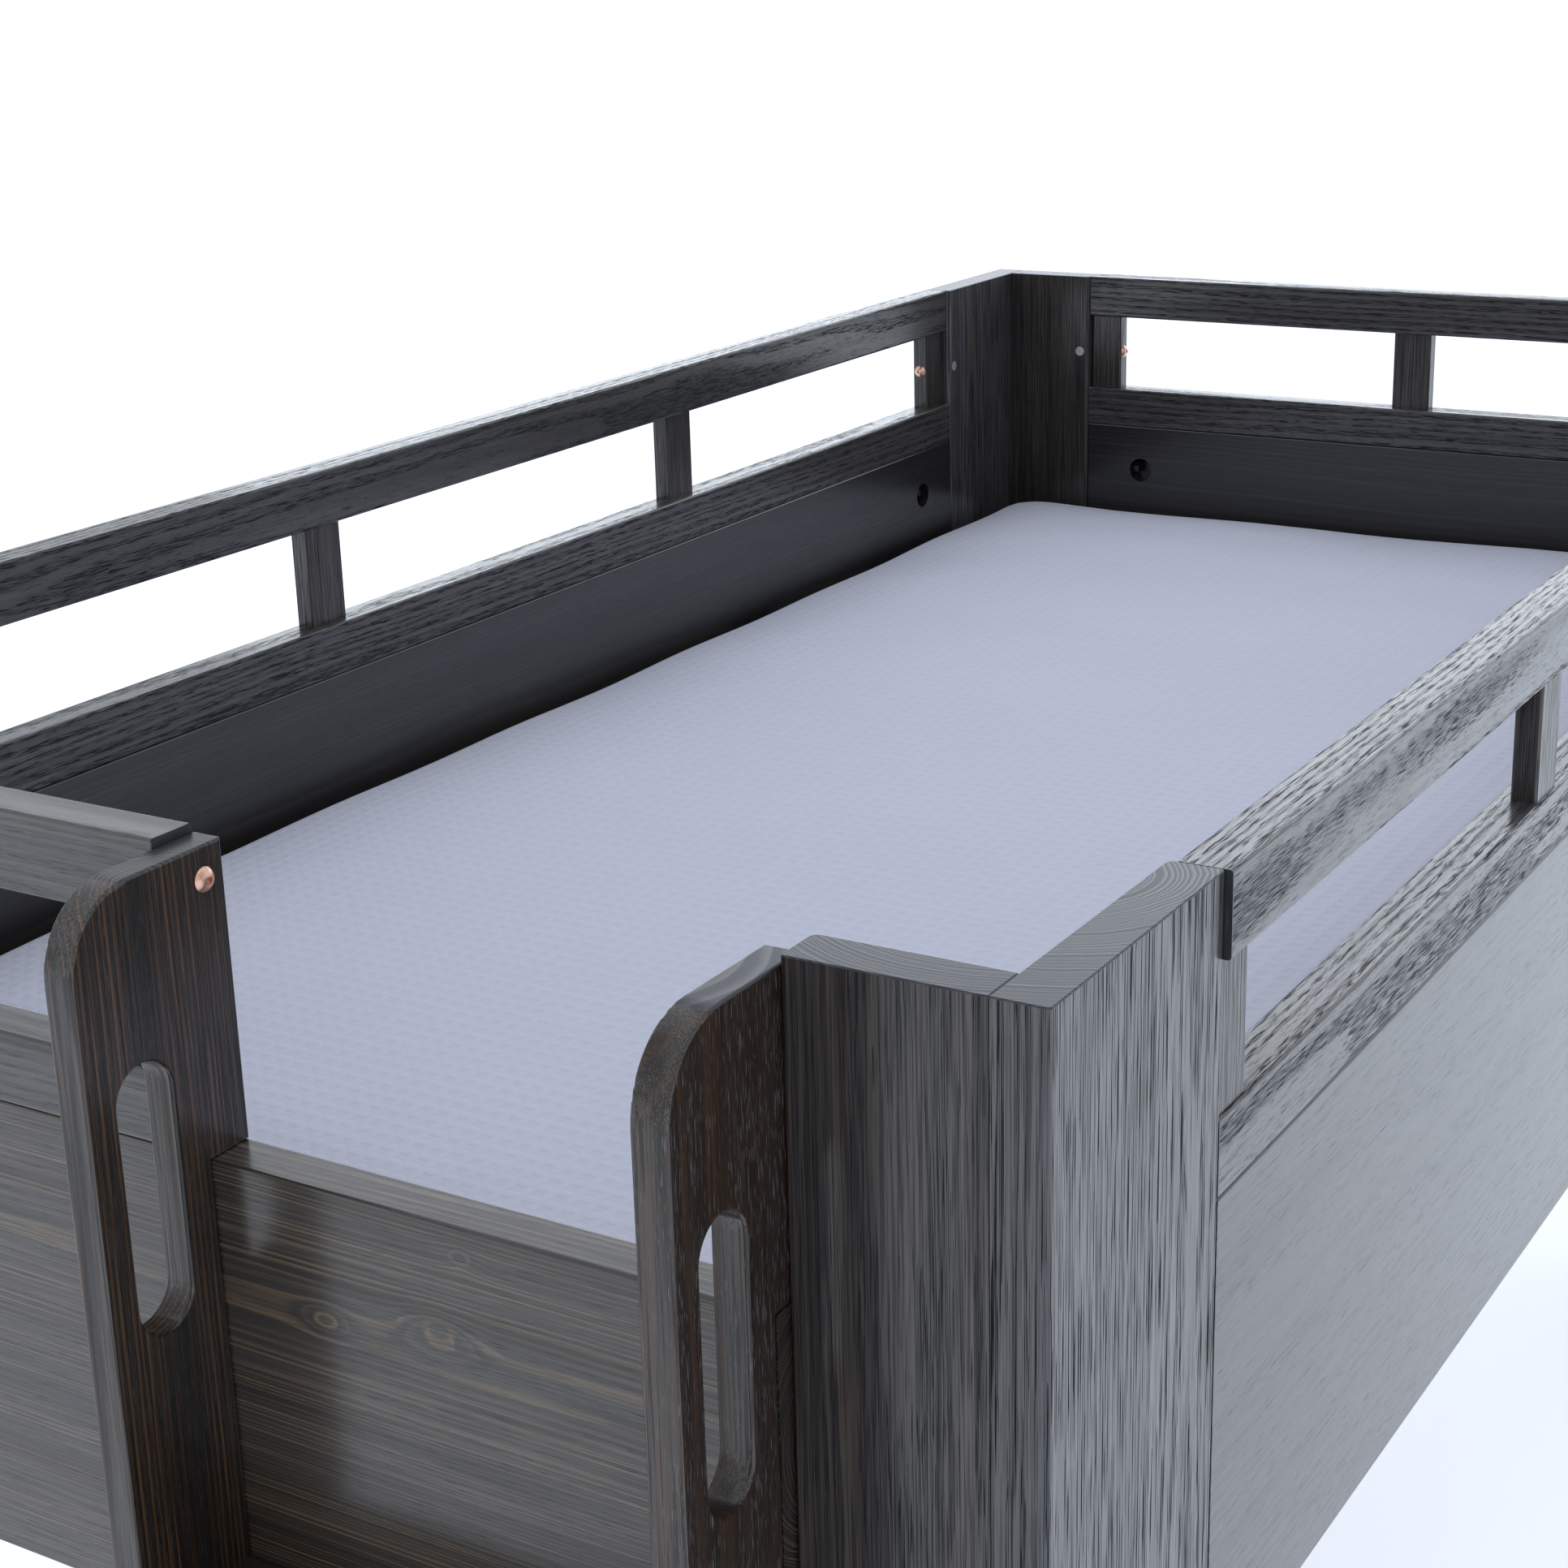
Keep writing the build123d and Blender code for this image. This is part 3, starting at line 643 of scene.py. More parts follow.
def as_mesh(name: str, shape: BMesh) -> Mesh:
    """Write a shape to a new mesh, and free it.

    Args:
        name: The mesh's name.
        shape: The shape.

    Returns:
        The mesh.
    """
    mesh = bpy.data.meshes.new(name)
    shape.to_mesh(mesh)
    shape.free()
    return mesh


def bake(piece: Object) -> None:
    """Turn the evaluated shape into the piece's own mesh and drop its modifiers.

    Args:
        piece: The object.
    """
    graph = bpy.context.evaluated_depsgraph_get()
    result = bpy.data.meshes.new_from_object(piece.evaluated_get(graph))
    piece.modifiers.clear()
    piece.data = result


def shade_smooth(shape: BMesh, angle: float = 32.0) -> None:
    """Make faces smooth, with edges that turn by more degrees than this sharp.

    Args:
        shape: The mesh.
        angle: The largest smooth turn in degrees.
    """
    for face in shape.faces:
        face.smooth = True
    for edge in shape.edges:
        edge.smooth = len(edge.link_faces) == 2 and edge.calc_face_angle() < math.radians(angle)


def welded(node: str) -> BMesh:
    """Copy a CAD node's mesh with its loose triangles joined.

    Args:
        node: The CAD node's name.

    Returns:
        The joined mesh, for the caller to free.
    """
    shape = bmesh.new()
    shape.from_mesh(NODES[node].data)
    bmesh.ops.remove_doubles(shape, verts=shape.verts, dist=0.01 * MM)
    return shape


def smooth_copy(node: str) -> Object:
    """Copy a CAD node as a piece with smooth round faces, and let it stand for the node.

    Args:
        node: The CAD node's name.

    Returns:
        The new piece.
    """
    shape = welded(node)
    shade_smooth(shape)
    piece = new_object(f"{node}_piece", as_mesh(f"{node}_piece", shape))
    piece.modifiers.new("even", "WEIGHTED_NORMAL").keep_sharp = True
    bake(piece)
    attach(piece, "root")
    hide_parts(node)
    return piece


@dataclass
class BoardFrame:
    """Corner posts, guard rails, uprights, sills and planks.

    The hearts say where the tree's heart lies from the middle of some boards, in metres, and
    the heart reach says how far it may lie from the others.
    """

    shop: MaterialShop
    heart_reach: Pair = (0.05, 0.12)
    hearts: dict[str, Triple] = field(default_factory=lambda: {
        "near_right_side_board": (-0.055, 0.060, 0.0),
        "near_right_end_board": (0.012, 0.120, 0.0),
        "right_rail": (-0.045, 0.0, 0.004),
        "right_sill": (-0.050, 0.0, -0.010),
        "right_plank": (-0.100, 0.0, 0.040),
        "entry_plank": (0.0, 0.036, 0.072),
        "left_rail": (-0.040, 0.0, -0.012),
    })
    entry_knots: tuple[Knot, ...] = (
        Knot((0.2128, -1.0035, 0.9560), 0.0040), Knot((0.1959, -1.0035, 0.9101), 0.0062),
        Knot((0.1200, -1.0035, 0.8960), 0.0045))

    def dress_all(self) -> None:
        """Dress every board of the frame."""
        for name in sorted(NODES):
            entry = name.startswith("entry")
            lying = Grain.ACROSS if entry or name.startswith("far") else Grain.ALONG
            if name.endswith("_side_board"):
                # Side boards carry a painted silvery sheen in their base colour.
                self.dress_board(name, SIDE_FINISH_WITH_PAINTED_SHEEN, Grain.UP)
            elif name.endswith("_end_board") or "_upright_" in name:
                self.dress_board(name, POST_FINISH, Grain.UP)
            elif name.endswith(("_rail", "_sill")):
                self.dress_board(name, CALM_RAIL_FINISH if entry else RAIL_FINISH, lying)
            elif name.endswith("_plank"):
                self.dress_board(name, ENTRY_FINISH if entry else PLANK_FINISH, lying)

    def dress_board(self, name: str, finish: WoodFinish, grain: Grain) -> None:
        """Dress one board.

        Args:
            name: The board's node.
            finish: Its finish.
            grain: The direction of its grain.
        """
        chance = random.Random(name)
        turn = chance.uniform(0.0, TURN)
        away = chance.uniform(*self.heart_reach)
        cosine, sine = math.cos(turn), math.sin(turn)
        across = {Grain.UP: (cosine, sine, 0.0), Grain.ALONG: (cosine, 0.0, sine),
                  Grain.ACROSS: (0.0, cosine, sine)}[grain]
        self.shop.wood(name, finish, grain, self.hearts.get(name, Vector(across) * away),
                       chance, self.entry_knots if name == "entry_plank" else ())


@dataclass
class Ladder:
    """Two side boards with hand slots, and the treads."""

    shop: MaterialShop
    tread_count: int = 3

    def build(self) -> None:
        """Make smooth pieces of the side boards and treads, and dress them."""
        self.build_board("ladder_stringer_left", LEFT_FINISH, Grain.UP, (0.030, -0.010, 0.0))
        self.build_board("ladder_stringer_right", STRINGER_FINISH, Grain.UP,
                         (-0.060, 0.015, 0.0))
        for number in range(1, self.tread_count + 1):
            self.build_board(f"ladder_tread_{number}", POST_FINISH, Grain.ACROSS,
                             (0.0, 0.010 * number, 0.050))

    def build_board(self, name: str, finish: WoodFinish, grain: Grain, offset: Triple) -> None:
        """Make and dress one board of the ladder.

        Args:
            name: The board's node.
            finish: Its finish.
            grain: The direction of its grain.
            offset: Where the tree's heart lies from the board's middle.
        """
        piece = smooth_copy(name)
        self.shop.wood(name, finish, grain, offset, random.Random(name), piece=piece)


def polygon(sides: int, corner: float) -> Callable[[float], float]:
    """Radius by angle of a regular polygon with this radius at its corners."""
    step = TURN / sides
    return lambda angle: corner * math.cos(step / 2) / math.cos((angle % step) - step / 2)


def cross(arm: float, waist: float) -> Callable[[float], float]:
    """Radius by angle of a cross recess, at the ends of its arms and between them."""
    return lambda angle: waist + (arm - waist) * abs(math.cos(2 * angle)) ** 6


def bridge(shape: BMesh, rings: list[list[BMVert]]) -> None:
    """Join each ring of points to the next by faces, and turn all faces outwards.

    Args:
        shape: The mesh that holds the points.
        rings: Rings of as many points. One point may stand for all of a ring.
    """
    for lower, upper in zip(rings, rings[1:]):
        for corners in zip(lower, lower[1:] + lower[:1], upper[1:] + upper[:1], upper):
            shape.faces.new(tuple(dict.fromkeys(corners)))
    bmesh.ops.recalc_face_normals(shape, faces=shape.faces)


def lathe(name: str, rows: Rows, facets: int = 48) -> Mesh:
    """Turn a profile round Z, closed at both ends.

    Args:
        name: The mesh's name.
        rows: Radius, or radius by angle, and height of each ring. Zero is a point.
        facets: How many sides a ring has.

    Returns:
        The mesh, with its normals outwards.
    """
    shape = bmesh.new()
    angles = [TURN * number / facets for number in range(facets)]
    rings = []
    for radius, height in rows:
        if radius == 0.0:
            rings.append([shape.verts.new((0.0, 0.0, height))] * facets)
            continue
        reaches = [radius(angle) if callable(radius) else radius for angle in angles]
        rings.append([shape.verts.new((reach * math.cos(angle), reach * math.sin(angle), height))
                      for reach, angle in zip(reaches, angles)])
    bridge(shape, rings)
    shade_smooth(shape)
    return as_mesh(name, shape)


@dataclass
class PatternTrees:
    """Geometry trees that set copies of a shape on places."""

    staple_turn: float = 0.12
    staple_seed: int = 4

    def __post_init__(self) -> None:
        """Build the trees once."""
        self.fasteners = self.build_fasteners()
        self.crossings = self.build_crossings()

    def build_fasteners(self) -> NodeTree:
        """Build a tree that sets a head and a shank of its own length on each point.

        Returns:
            The tree. Its points carry the attributes turn and reach.
        """
        write = GroupWriter("GeometryNodeTree", "fasteners_on_points",
                            {SHAPE: ["Points"], SOURCE: ["Head", "Shank"], FINISH: ["Finish"]},
                            {SHAPE: ["Geometry"]})
        turn, reach = (
            write.add("GeometryNodeInputNamedAttribute", {"Name": name},
                      data_type=kind).outputs["Attribute"]
            for name, kind in (("turn", "FLOAT_VECTOR"), ("reach", "FLOAT")))
        return self.close(write, write.given["Points"], turn, {
            "Head": (1.0, 1.0, 1.0), "Shank": write.joined(1.0, 1.0, reach)})

    def build_crossings(self) -> NodeTree:
        """Build a tree that sets a shape on each crossing of some straps and a row of slats.

        Returns:
            The tree.
        """
        write = GroupWriter(
            "GeometryNodeTree", "staples_on_crossings",
            {SHAPE: ["Geometry"], SOURCE: ["Staple"], WHOLE: ["Straps", "Slats"],
             NUMBER: ["Spread", "Reach"], VECTOR: ["Place"], FINISH: ["Finish"]},
            {SHAPE: ["Geometry"]})
        given = write.given
        grid = write.add("GeometryNodeMeshGrid", {
            "Size X": given["Spread"], "Size Y": given["Reach"],
            "Vertices X": given["Straps"], "Vertices Y": given["Slats"]}).outputs["Mesh"]
        placed = write.add("GeometryNodeSetPosition", {
            "Geometry": grid, "Offset": given["Place"]}).outputs[0]
        turn = write.add("FunctionNodeRandomValue", {
            0: (0.0, 0.0, -self.staple_turn), 1: (0.0, 0.0, self.staple_turn),
            "Seed": self.staple_seed}, data_type="FLOAT_VECTOR").outputs[0]
        return self.close(write, placed, turn, {"Staple": (1.0, 1.0, 1.0)})

    def close(self, write: GroupWriter, points: NodeSocket, turn: NodeSocket,
              sizes: Inputs) -> NodeTree:
        """End a tree by setting real copies of objects on points, in their material.

        Args:
            write: The tree's writer.
            points: The points.
            turn: Euler angles of the copies.
            sizes: Scale of the copies, by the input that gives their object.

        Returns:
            The tree.
        """
        rotation = write.add("FunctionNodeEulerToRotation", {0: turn}).outputs[0]
        join = write.add("GeometryNodeJoinGeometry")
        for label, size in sizes.items():
            shape = write.add("GeometryNodeObjectInfo", {"Object": write.given[label]})
            write.feed(join, {0: write.add("GeometryNodeInstanceOnPoints", {
                "Points": points, "Instance": shape.outputs["Geometry"], "Rotation": rotation,
                "Scale": size}).outputs[0]})
        real = write.add("GeometryNodeRealizeInstances", {0: join.outputs[0]}).outputs[0]
        done = write.add("GeometryNodeSetMaterial", {
            "Geometry": real, "Material": write.given["Finish"]})
        return write.close({0: done.outputs[0]})

    def grow(self, piece: Object, tree: NodeTree, values: dict[str, Any]) -> None:
        """Run a tree on a piece and keep its result as the piece's plain mesh.

        Args:
            piece: The piece.
            tree: The tree.
            values: Values of the tree's inputs, by name.
        """
        modifier = piece.modifiers.new("pattern", "NODES")
        modifier.node_group = tree
        for socket in tree.interface.items_tree:
            if socket.in_out == "INPUT" and socket.name in values:
                modifier[socket.identifier] = values[socket.name]
        bake(piece)
        LOG.info("grew %s to %d faces", piece.name, len(piece.data.polygons))


@dataclass
class SlattedBase:
    """Slats, ledgers, webbing straps and the staples that hold them.

    The tree's heart lies off a slat's middle to its side and in its depth.
    """

    shop: MaterialShop
    trees: PatternTrees
    staple_width: float = 11 * MM
    staple_leg: float = 6 * MM
    staple_wire: float = 1.2 * MM
    staple_pair: float = 9 * MM
    strap_count: int = 2
    heart_side: Pair = (-0.04, 0.04)
    heart_depth: Pair = (0.04, 0.1)

    def build(self) -> None:
        """Dress the base and staple its straps."""
        slats = [name for name in sorted(NODES)
                 if name.startswith("slat_") and name != "slat_straps"]
        for name in slats:
            chance = random.Random(name)
            offset = (0.0, chance.uniform(*self.heart_side), chance.uniform(*self.heart_depth))
            self.shop.wood(name, SLAT_FINISH, Grain.ACROSS, offset, chance)
        for name in ("ledger_left", "ledger_right"):
            self.shop.wood(name, RAIL_FINISH, Grain.ALONG, (0.05, 0.0, 0.05),
                           random.Random(name))
        dress(NODES["slat_straps"], self.shop.cloth("webbing", WEBBING))
        self.staple(slats)

    def staple(self, slats: list[str]) -> None:
        """Staple the straps to the slats.

        Args:
            slats: The slats' nodes in order.
        """
        low, high = box("slat_straps")
        sides = [vertex.co.x for vertex in NODES["slat_straps"].data.vertices]
        middle = (min(sides) + max(sides)) / 2
        width = max(side for side in sides if side < middle) - min(sides)
        first, last = (sum(box(name), Vector()) / 2 for name in (slats[0], slats[-1]))
        shape = new_object("staple_pair", self.staple_mesh())
        piece = new_object("strap_staples", bpy.data.meshes.new("strap_staples"))
        self.trees.grow(piece, self.trees.crossings, {
            "Staple": shape, "Straps": self.strap_count, "Slats": len(slats),
            "Spread": high.x - low.x - width, "Reach": last.y - first.y,
            "Place": Vector(((low.x + high.x) / 2, (first.y + last.y) / 2, low.z)),
            "Finish": self.shop.metal("staple_wire", ZINC)})
        bpy.data.objects.remove(shape)
        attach(piece, "root")

    def staple_mesh(self) -> Mesh:
        """Make two staples side by side, their crowns under the plane of the strap.

        Returns:
            The mesh.
        """
        shape = bmesh.new()
        half = self.staple_width / 2
        thick = self.staple_wire / 2
        path = [(-half, self.staple_leg), (-half, 0.0), (-half + thick, -thick),
                (half - thick, -thick), (half, 0.0), (half, self.staple_leg)]
        for side in (-0.5, 0.5):
            rings = []
            for x, z in path:
                wide = Vector((thick, 0.0, 0.0)) if abs(x) == half else Vector((0.0, 0.0, thick))
                spot = Vector((x, side * self.staple_pair, z))
                sign = -1.0 if x == half else 1.0
                rings.append([shape.verts.new(spot + wide * (a * sign / 2)
                                              + Vector((0.0, thick * b, 0.0)))
                              for a, b in ((-1, -1), (1, -1), (1, 1), (-1, 1))])
            shape.faces.new(rings[0])
            shape.faces.new(rings[-1])
            bridge(shape, rings)
        return as_mesh("staple_pair", shape)


@dataclass(frozen=True)
class FastenerPlace:
    """Where one fastener's head seats, which way its shank runs and how long it is."""

    seat: Vector
    way: Vector
    reach: float


@dataclass
class Fittings:
    """Copper bolts, barrel nuts, coach screws, wood screws and glides."""

    shop: MaterialShop
    trees: PatternTrees
    bolt_head: float = 7 * MM
    bolt_dome: float = 4 * MM
    bolt_shank: float = 3 * MM
    socket: float = 2.3 * MM
    socket_depth: float = 2.2 * MM
    dome_rings: int = 7
    coach_head: float = 7 * MM
    coach_height: float = 6 * MM
    coach_shank: float = 4 * MM
    screw_head: float = 4.5 * MM
    screw_cone: float = 3 * MM
    screw_shank: float = 2 * MM
    shank_facets: int = 16
    taper_start: float = 0.97
    taper: float = 0.6

    def build(self) -> None:
        """Make the bolts and screws and dress all fittings."""
        copper = self.shop.metal("copper_plating", COPPER)
        zinc = self.shop.metal("zinc_plating", ZINC)
        steel = self.shop.metal("black_steel", BLACK_STEEL)
        bolt, coach, screw = self.profiles()
        self.grow("copper_bolts", bolt, self.bolt_shank, self.rim_height(), copper, "copper")
        self.grow("coach_screws", coach, self.coach_shank, self.coach_height, steel, "zinc_steel")
        self.grow("wood_screws", screw, self.screw_shank, self.screw_cone, zinc, "zinc_steel")
        nuts = smooth_copy("barrel_nuts")
        dress(nuts, zinc)
        dress(NODES["glides"], self.shop.plastic("glide_plastic", GLIDE_PLASTIC))

    def ball(self) -> float:
        """Radius of the sphere that a bolt's head is cut from."""
        return (self.bolt_head ** 2 + self.bolt_dome ** 2) / (2 * self.bolt_dome)

    def rim_height(self) -> float:
        """Height of the socket's rim above the seat of a bolt's head."""
        return self.bolt_dome - self.ball() + math.sqrt(self.ball() ** 2 - self.socket ** 2)

    def profiles(self) -> tuple[Rows, Rows, Rows]:
        """Draw the three kinds of head, their seats at height zero.

        Returns:
            Rows of the bolt's button head with its hexagon socket, of the coach screw's
            hexagon with a chamfer, and of the wood screw's cone with a cross recess.
        """
        ball = self.ball()
        start, end = math.asin(self.socket * 1.1 / ball), math.asin(self.bolt_head / ball)
        crown, hexagon = -self.bolt_dome, polygon(6, self.socket)
        bolt: Rows = [(0.0, crown + self.socket_depth), (hexagon, crown + self.socket_depth),
                      (hexagon, -self.rim_height())]
        for number in range(self.dome_rings + 1):
            turn = start + (end - start) * number / self.dome_rings
            bolt.append((ball * math.sin(turn), crown + ball * (1 - math.cos(turn))))
        bolt += [(self.bolt_shank, 0.0), (0.0, 0.0)]
        flat, hexagon = self.coach_head * math.cos(math.pi / 6), polygon(6, self.coach_head)
        top = -self.coach_height
        coach: Rows = [(0.0, top), (flat * 0.92, top), (flat, top * 0.95),
                       (hexagon, top * 0.85), (hexagon, 0.0), (0.0, 0.0)]
        recess = cross(self.screw_head * 0.58, self.screw_head * 0.2)
        deep = cross(self.screw_head * 0.3, self.screw_head * 0.12)
        top = -self.screw_cone
        screw: Rows = [(0.0, top * 0.4), (deep, top * 0.45), (recess, top),
                       (self.screw_head, top), (self.screw_shank, 0.0), (0.0, 0.0)]
        return bolt, coach, screw

    def grow(self, node: str, rows: Rows, shank: float, head: float, material: Material,
             slot: str) -> None:
        """Make one kind of fastener at all of its places.

        Args:
            node: The CAD node that holds the fasteners.
            rows: Profile of the head.
            shank: Radius of the shank.
            head: Height of the head.
            material: The finish.
            slot: Not used.
        """
        places = self.places(node, head)
        mesh = bpy.data.meshes.new(f"{node}_points")
        mesh.from_pydata([tuple(place.seat) for place in places], [], [])
        chance = random.Random(node)
        turns = []
        for place in places:
            twist = Quaternion((0.0, 0.0, 1.0), chance.uniform(0.0, TURN))
            turns.extend((place.way.to_track_quat("Z", "Y") @ twist).to_euler())
        mesh.attributes.new("turn", "FLOAT_VECTOR", "POINT").data.foreach_set("vector", turns)
        mesh.attributes.new("reach", "FLOAT", "POINT").data.foreach_set(
            "value", [place.reach for place in places])
        top = new_object("head_shape", lathe("head_shape", rows))
        stem = new_object("shank_shape", lathe("shank_shape", [
            (0.0, 0.0), (shank, 0.0), (shank, self.taper_start), (shank * self.taper, 1.0),
            (0.0, 1.0)], self.shank_facets))
        piece = new_object(f"{node}_piece", mesh)
        self.trees.grow(piece, self.trees.fasteners, {
            "Head": top, "Shank": stem, "Finish": material})
        for shape in (top, stem):
            bpy.data.objects.remove(shape)
        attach(piece, "root")
        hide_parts(node)

    def places(self, node: str, head: float) -> list[FastenerPlace]:
        """Find the fasteners of a CAD node.

        Args:
            node: The node, which holds one solid for each fastener.
            head: Height of the heads.

        Returns:
            One place for each solid.
        """
        shape = welded(node)
        left = set(shape.verts)
        found = []
        while left:
            edge = [left.pop()]
            solid = list(edge)
            while edge:
                vertex = edge.pop()
                near = {link.other_vert(vertex) for link in vertex.link_edges} & left
                left -= near
                edge.extend(near)
                solid.extend(near)
            found.append(self.place([vertex.co.copy() for vertex in solid], head))
        shape.free()
        return sorted(found, key=lambda place: tuple(place.seat))

    def place(self, points: list[Vector], head: float) -> FastenerPlace:
        """Work out one fastener's place from its points.

        Args:
            points: The solid's points.
            head: Height of the head.

        Returns:
            The place.
        """
        low, high = (Vector([pick(point[axis] for point in points) for axis in range(3)])
                     for pick in (min, max))
        axis = max(range(3), key=lambda number: high[number] - low[number])
        middle = (low + high) / 2

        def width(end: float) -> float:
            """How far the points near one end lie from the axis."""
            near = [point - middle for point in points if abs(point[axis] - end) < head + MM]
            return max(math.hypot(*(reach[number] for number in range(3) if number != axis))
                       for reach in near)

        start, sign = (low[axis], 1.0) if width(low[axis]) > width(high[axis]) \
            else (high[axis], -1.0)
        way = Vector()
        way[axis] = sign
        seat = middle.copy()
        seat[axis] = start + sign * head
        return FastenerPlace(seat, way, high[axis] - low[axis] - head)


@dataclass
class Mattress:
    """Mattress in a waffle knit cover, swollen by a cloth simulation.

    The shrink leaves room for the swelling. The waves' turns and their drift are in radians a
    metre, the sway in radians.
    """

    shop: MaterialShop
    voxel: float = 16 * MM
    shrink: float = 5 * MM
    swell_limit: float = 7 * MM
    pressure: float = 4.0
    cloth_mass: float = 0.4
    cloth_steps: int = 4
    frames: int = 20
    fill: float = 0.9
    wave_height: float = 0.8 * MM
    waves: Pair = (19.0, 23.0)
    drift: Pair = (5.1, 8.3)
    sway: Pair = (2.3, 1.7)

    def build(self) -> None:
        """Make, swell and dress the mattress."""
        piece = new_object("mattress_cover", as_mesh("mattress_cover", welded("mattress")))
        self.apply(piece, "REMESH", mode="VOXEL", voxel_size=self.voxel)
        for vertex, normal in [(vertex, vertex.normal.copy()) for vertex in piece.data.vertices]:
            vertex.co -= normal * self.shrink
        self.swell(piece)
        self.apply(piece, "SUBSURF", levels=1, render_levels=1)
        self.settle(piece)
        for face in piece.data.polygons:
            face.use_smooth = True
        piece.data.materials.clear()
        dress(piece, self.shop.cloth("waffle_knit", WAFFLE_KNIT))
        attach(piece, "root")
        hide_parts("mattress")
        LOG.info("built %s with %d faces", piece.name, len(piece.data.polygons))

    def apply(self, piece: Object, kind: str, **settings: Any) -> None:
        """Add a modifier and apply it.

        Args:
            piece: The object.
            kind: The modifier's type.
            **settings: The modifier's properties.
        """
        modifier = piece.modifiers.new("shape", kind)
        for name, value in settings.items():
            setattr(modifier, name, value)
        bake(piece)

    def swell(self, piece: Object) -> None:
        """Blow the cover up softly by a cloth simulation with a capped movement.

        Args:
            piece: The mattress.
        """
        rest = [vertex.co.copy() for vertex in piece.data.vertices]
        cloth = piece.modifiers.new("cloth", "CLOTH")
        cloth.settings.use_pressure = True
        cloth.settings.uniform_pressure_force = self.pressure
        cloth.settings.effector_weights.gravity = 0.0
        cloth.settings.quality = self.cloth_steps
        cloth.settings.mass = self.cloth_mass
        cloth.point_cache.frame_start = 1
        cloth.point_cache.frame_end = self.frames
        for number in range(1, self.frames + 1):
            bpy.context.scene.frame_set(number)
        bake(piece)
        bpy.context.scene.frame_set(1)
        for vertex, place in zip(piece.data.vertices, rest):
            way = vertex.co - place
            if way.length > self.swell_limit:
                vertex.co = place + way.normalized() * self.swell_limit

    def settle(self, piece: Object) -> None:
        """Lay slow waves into the cover and keep it close to the solid's box.

        Args:
            piece: The mattress.
        """
        low, high = box("mattress")
        middle = (low + high) / 2
        proud = Vector((MM, MM, MM / 2))
        for vertex in piece.data.vertices:
            x, y, z = vertex.co
            wave = math.sin(x * self.waves[0] + self.sway[0] * math.sin(y * self.drift[0]))
            wave += math.sin(y * self.waves[1] + self.sway[1] * math.sin(x * self.drift[1]) + 1.0)
            if z > middle.z:
                vertex.co.z += wave * self.wave_height
            for axis in range(3):
                vertex.co[axis] = min(max(vertex.co[axis], low[axis]), high[axis] + proud[axis])


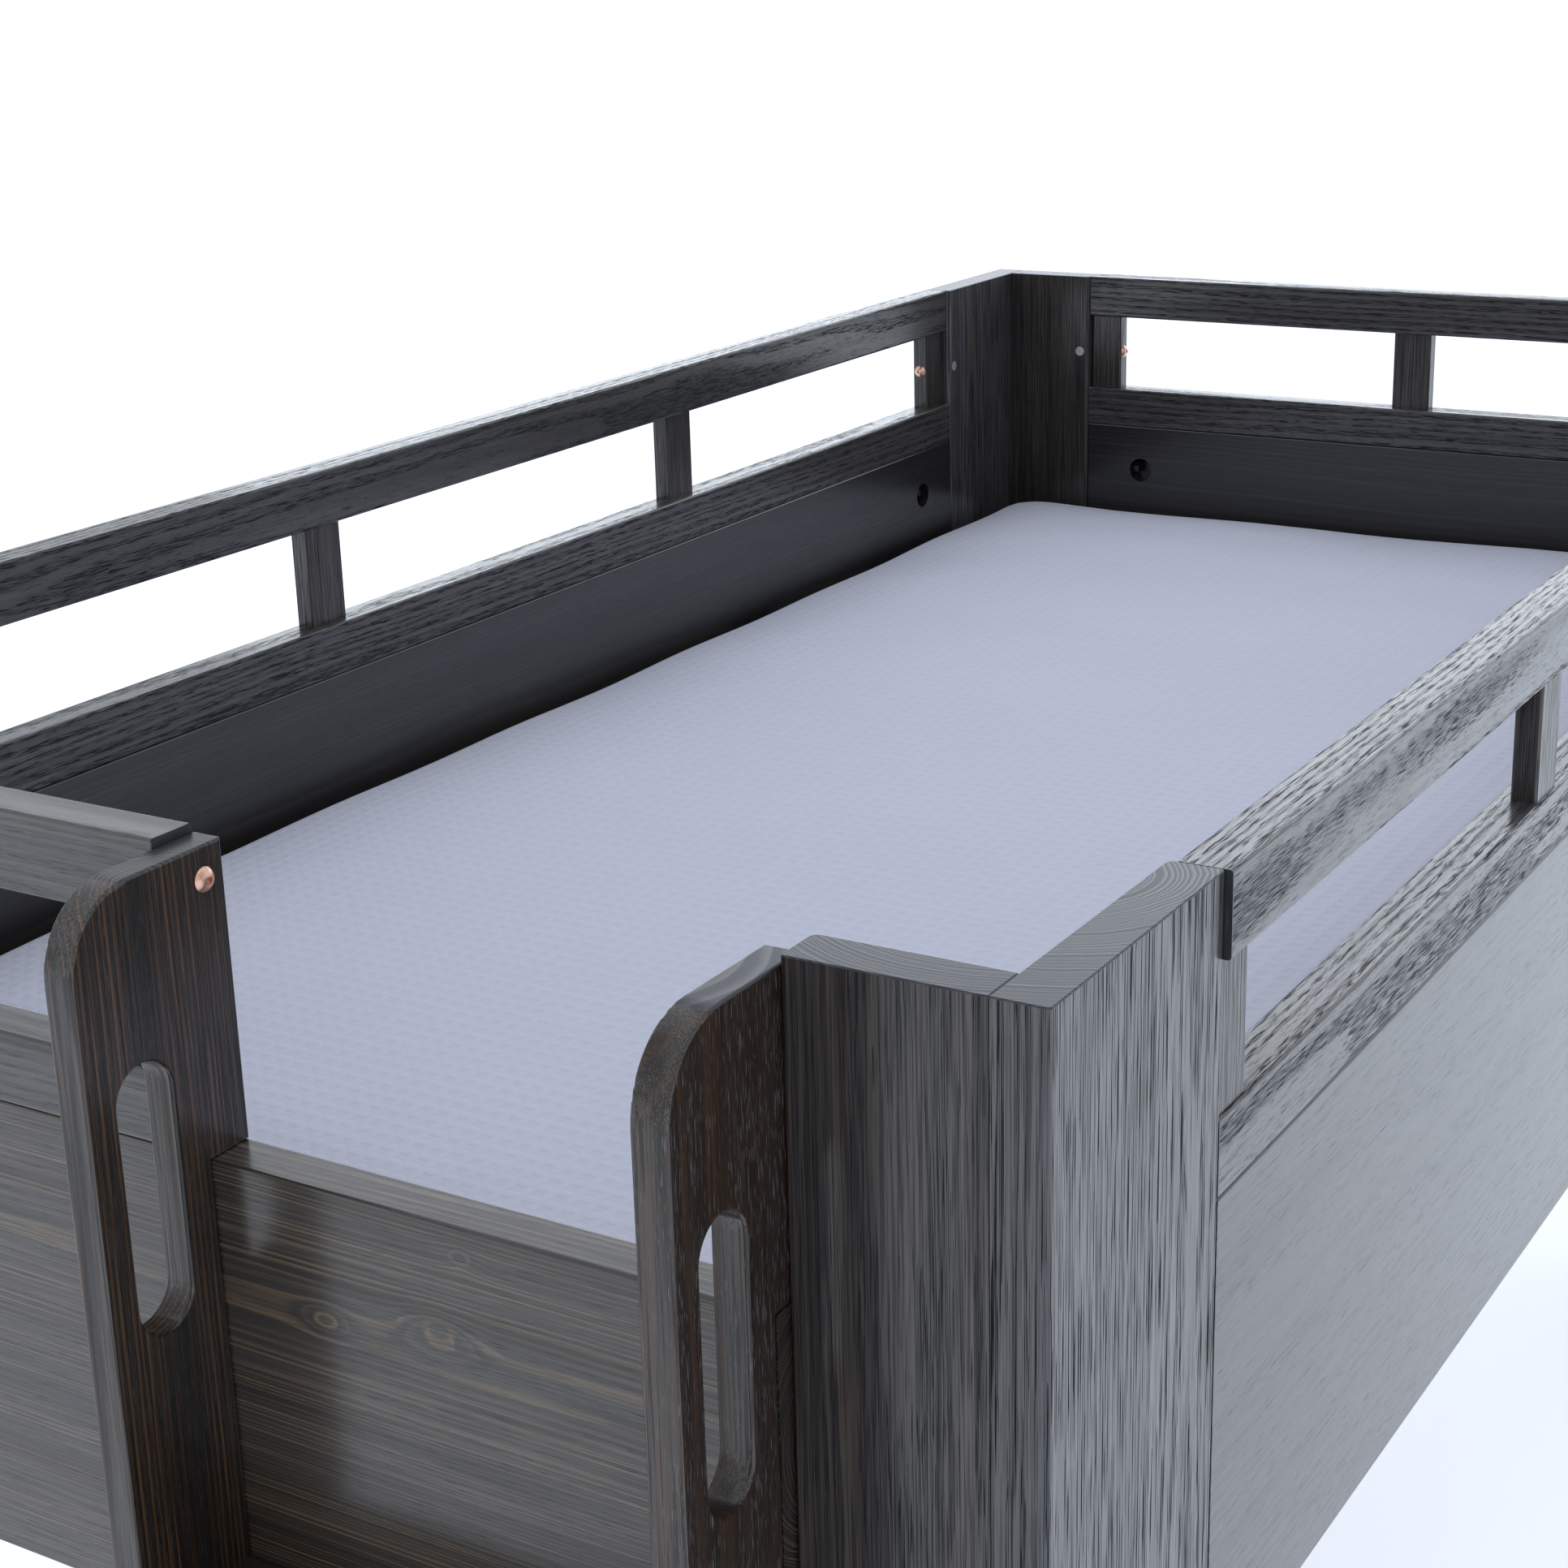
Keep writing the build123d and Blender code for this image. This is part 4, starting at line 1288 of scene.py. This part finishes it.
@dataclass
class Studio:
    """Pale floor, a soft lamp and the camera at the photograph's viewing angle."""

    camera_place: Triple = (0.9990, -1.95682, 1.60486)
    camera_turn: Triple = (71.7569, 1.5753, 31.0777)
    lens: float = 62.414
    sensor: float = 36.0
    view_length: float = 100.0
    floor_size: float = 60.0
    floor_colour: Colour = (0.84, 0.86, 0.89, 1.0)
    floor_glow: Colour = (0.84, 0.90, 1.0, 1.0)
    glow_strength: float = 0.5
    sky: Colour = (0.86, 0.92, 1.0, 1.0)
    white: Colour = (1.0, 1.0, 1.0, 1.0)
    lamp_colour: Triple = (0.86, 0.91, 1.0)
    lamp_place: Triple = (-1.5, 5.0, 2.7)
    lamp_target: Triple = (-1.5, 0.0, 2.7)
    lamp_size: Pair = (8.0, 2.4)
    lamp_power: float = 80.0

    def build(self) -> None:
        """Set up the world, the floor, the lamp and the camera."""
        self.build_world()
        self.build_floor()
        self.add_lamp()
        self.add_camera()
        bpy.context.scene.view_settings.view_transform = "Standard"

    def seen_rays(self, write: NodeWriter) -> NodeSocket:
        """Mask of camera, glossy and transmission rays.

        Args:
            write: The writer of the tree that needs the mask.

        Returns:
            A socket that is 1 for those rays.
        """
        rays = write.add("ShaderNodeLightPath").outputs
        both = write.sum("MAXIMUM", rays["Is Camera Ray"], rays["Is Glossy Ray"])
        return write.sum("MAXIMUM", both, rays["Is Transmission Ray"])

    def build_world(self) -> None:
        """Make a cool, soft world that the camera sees as white."""
        world = bpy.data.worlds.new("studio")
        bpy.context.scene.world = world
        write = emptied(world)
        strength = write.line(self.seen_rays(write), 0.1, 0.9)
        camera = write.add("ShaderNodeLightPath").outputs["Is Camera Ray"]
        light = write.add("ShaderNodeBackground", {
            "Color": write.mix(camera, self.sky, self.white), "Strength": strength})
        write.add("ShaderNodeOutputWorld", {"Surface": light.outputs[0]})

    def build_floor(self) -> None:
        """Make the floor, white to the camera with the object's soft shadow on it."""
        half = self.floor_size / 2
        mesh = bpy.data.meshes.new("floor")
        mesh.from_pydata([(-half, -half, 0), (half, -half, 0), (half, half, 0),
                          (-half, half, 0)], [], [(0, 1, 2, 3)])
        material = bpy.data.materials.new("floor_paint")
        write = emptied(material)
        paint = write.add("ShaderNodeBsdfDiffuse", {"Color": self.floor_colour})
        glow = write.add("ShaderNodeEmission", {
            "Color": self.floor_glow,
            "Strength": write.times(self.seen_rays(write), self.glow_strength)})
        both = write.add("ShaderNodeAddShader", {0: paint.outputs[0], 1: glow.outputs[0]})
        write.add("ShaderNodeOutputMaterial", {"Surface": both.outputs[0]})
        mesh.materials.append(material)
        new_object("floor", mesh)

    def add_lamp(self) -> None:
        """Add the softbox behind the bed."""
        lamp = bpy.data.lights.new("back_panel", "AREA")
        lamp.shape = "RECTANGLE"
        lamp.size, lamp.size_y = self.lamp_size
        lamp.energy = self.lamp_power
        lamp.color = self.lamp_colour
        holder = new_object("back_panel", lamp)
        holder.location = self.lamp_place
        way = Vector(self.lamp_target) - Vector(self.lamp_place)
        holder.rotation_euler = way.to_track_quat("-Z", "Y").to_euler()
        holder.visible_camera = False

    def add_camera(self) -> None:
        """Add the camera."""
        camera = bpy.data.cameras.new("camera")
        camera.lens = self.lens
        camera.sensor_width = self.sensor
        camera.clip_end = self.view_length
        holder = new_object("camera", camera)
        holder.location = self.camera_place
        holder.rotation_euler = tuple(math.radians(turn) for turn in self.camera_turn)
        bpy.context.scene.camera = holder


def main() -> None:
    """Build the bed's looks in order."""
    logging.basicConfig(level=logging.INFO)
    shop = MaterialShop()
    trees = PatternTrees()
    BoardFrame(shop).dress_all()
    Ladder(shop).build()
    SlattedBase(shop, trees).build()
    Fittings(shop, trees).build()
    Mattress(shop).build()
    Studio().build()
    bpy.context.view_layer.update()


if __name__ == "__main__":
    main()
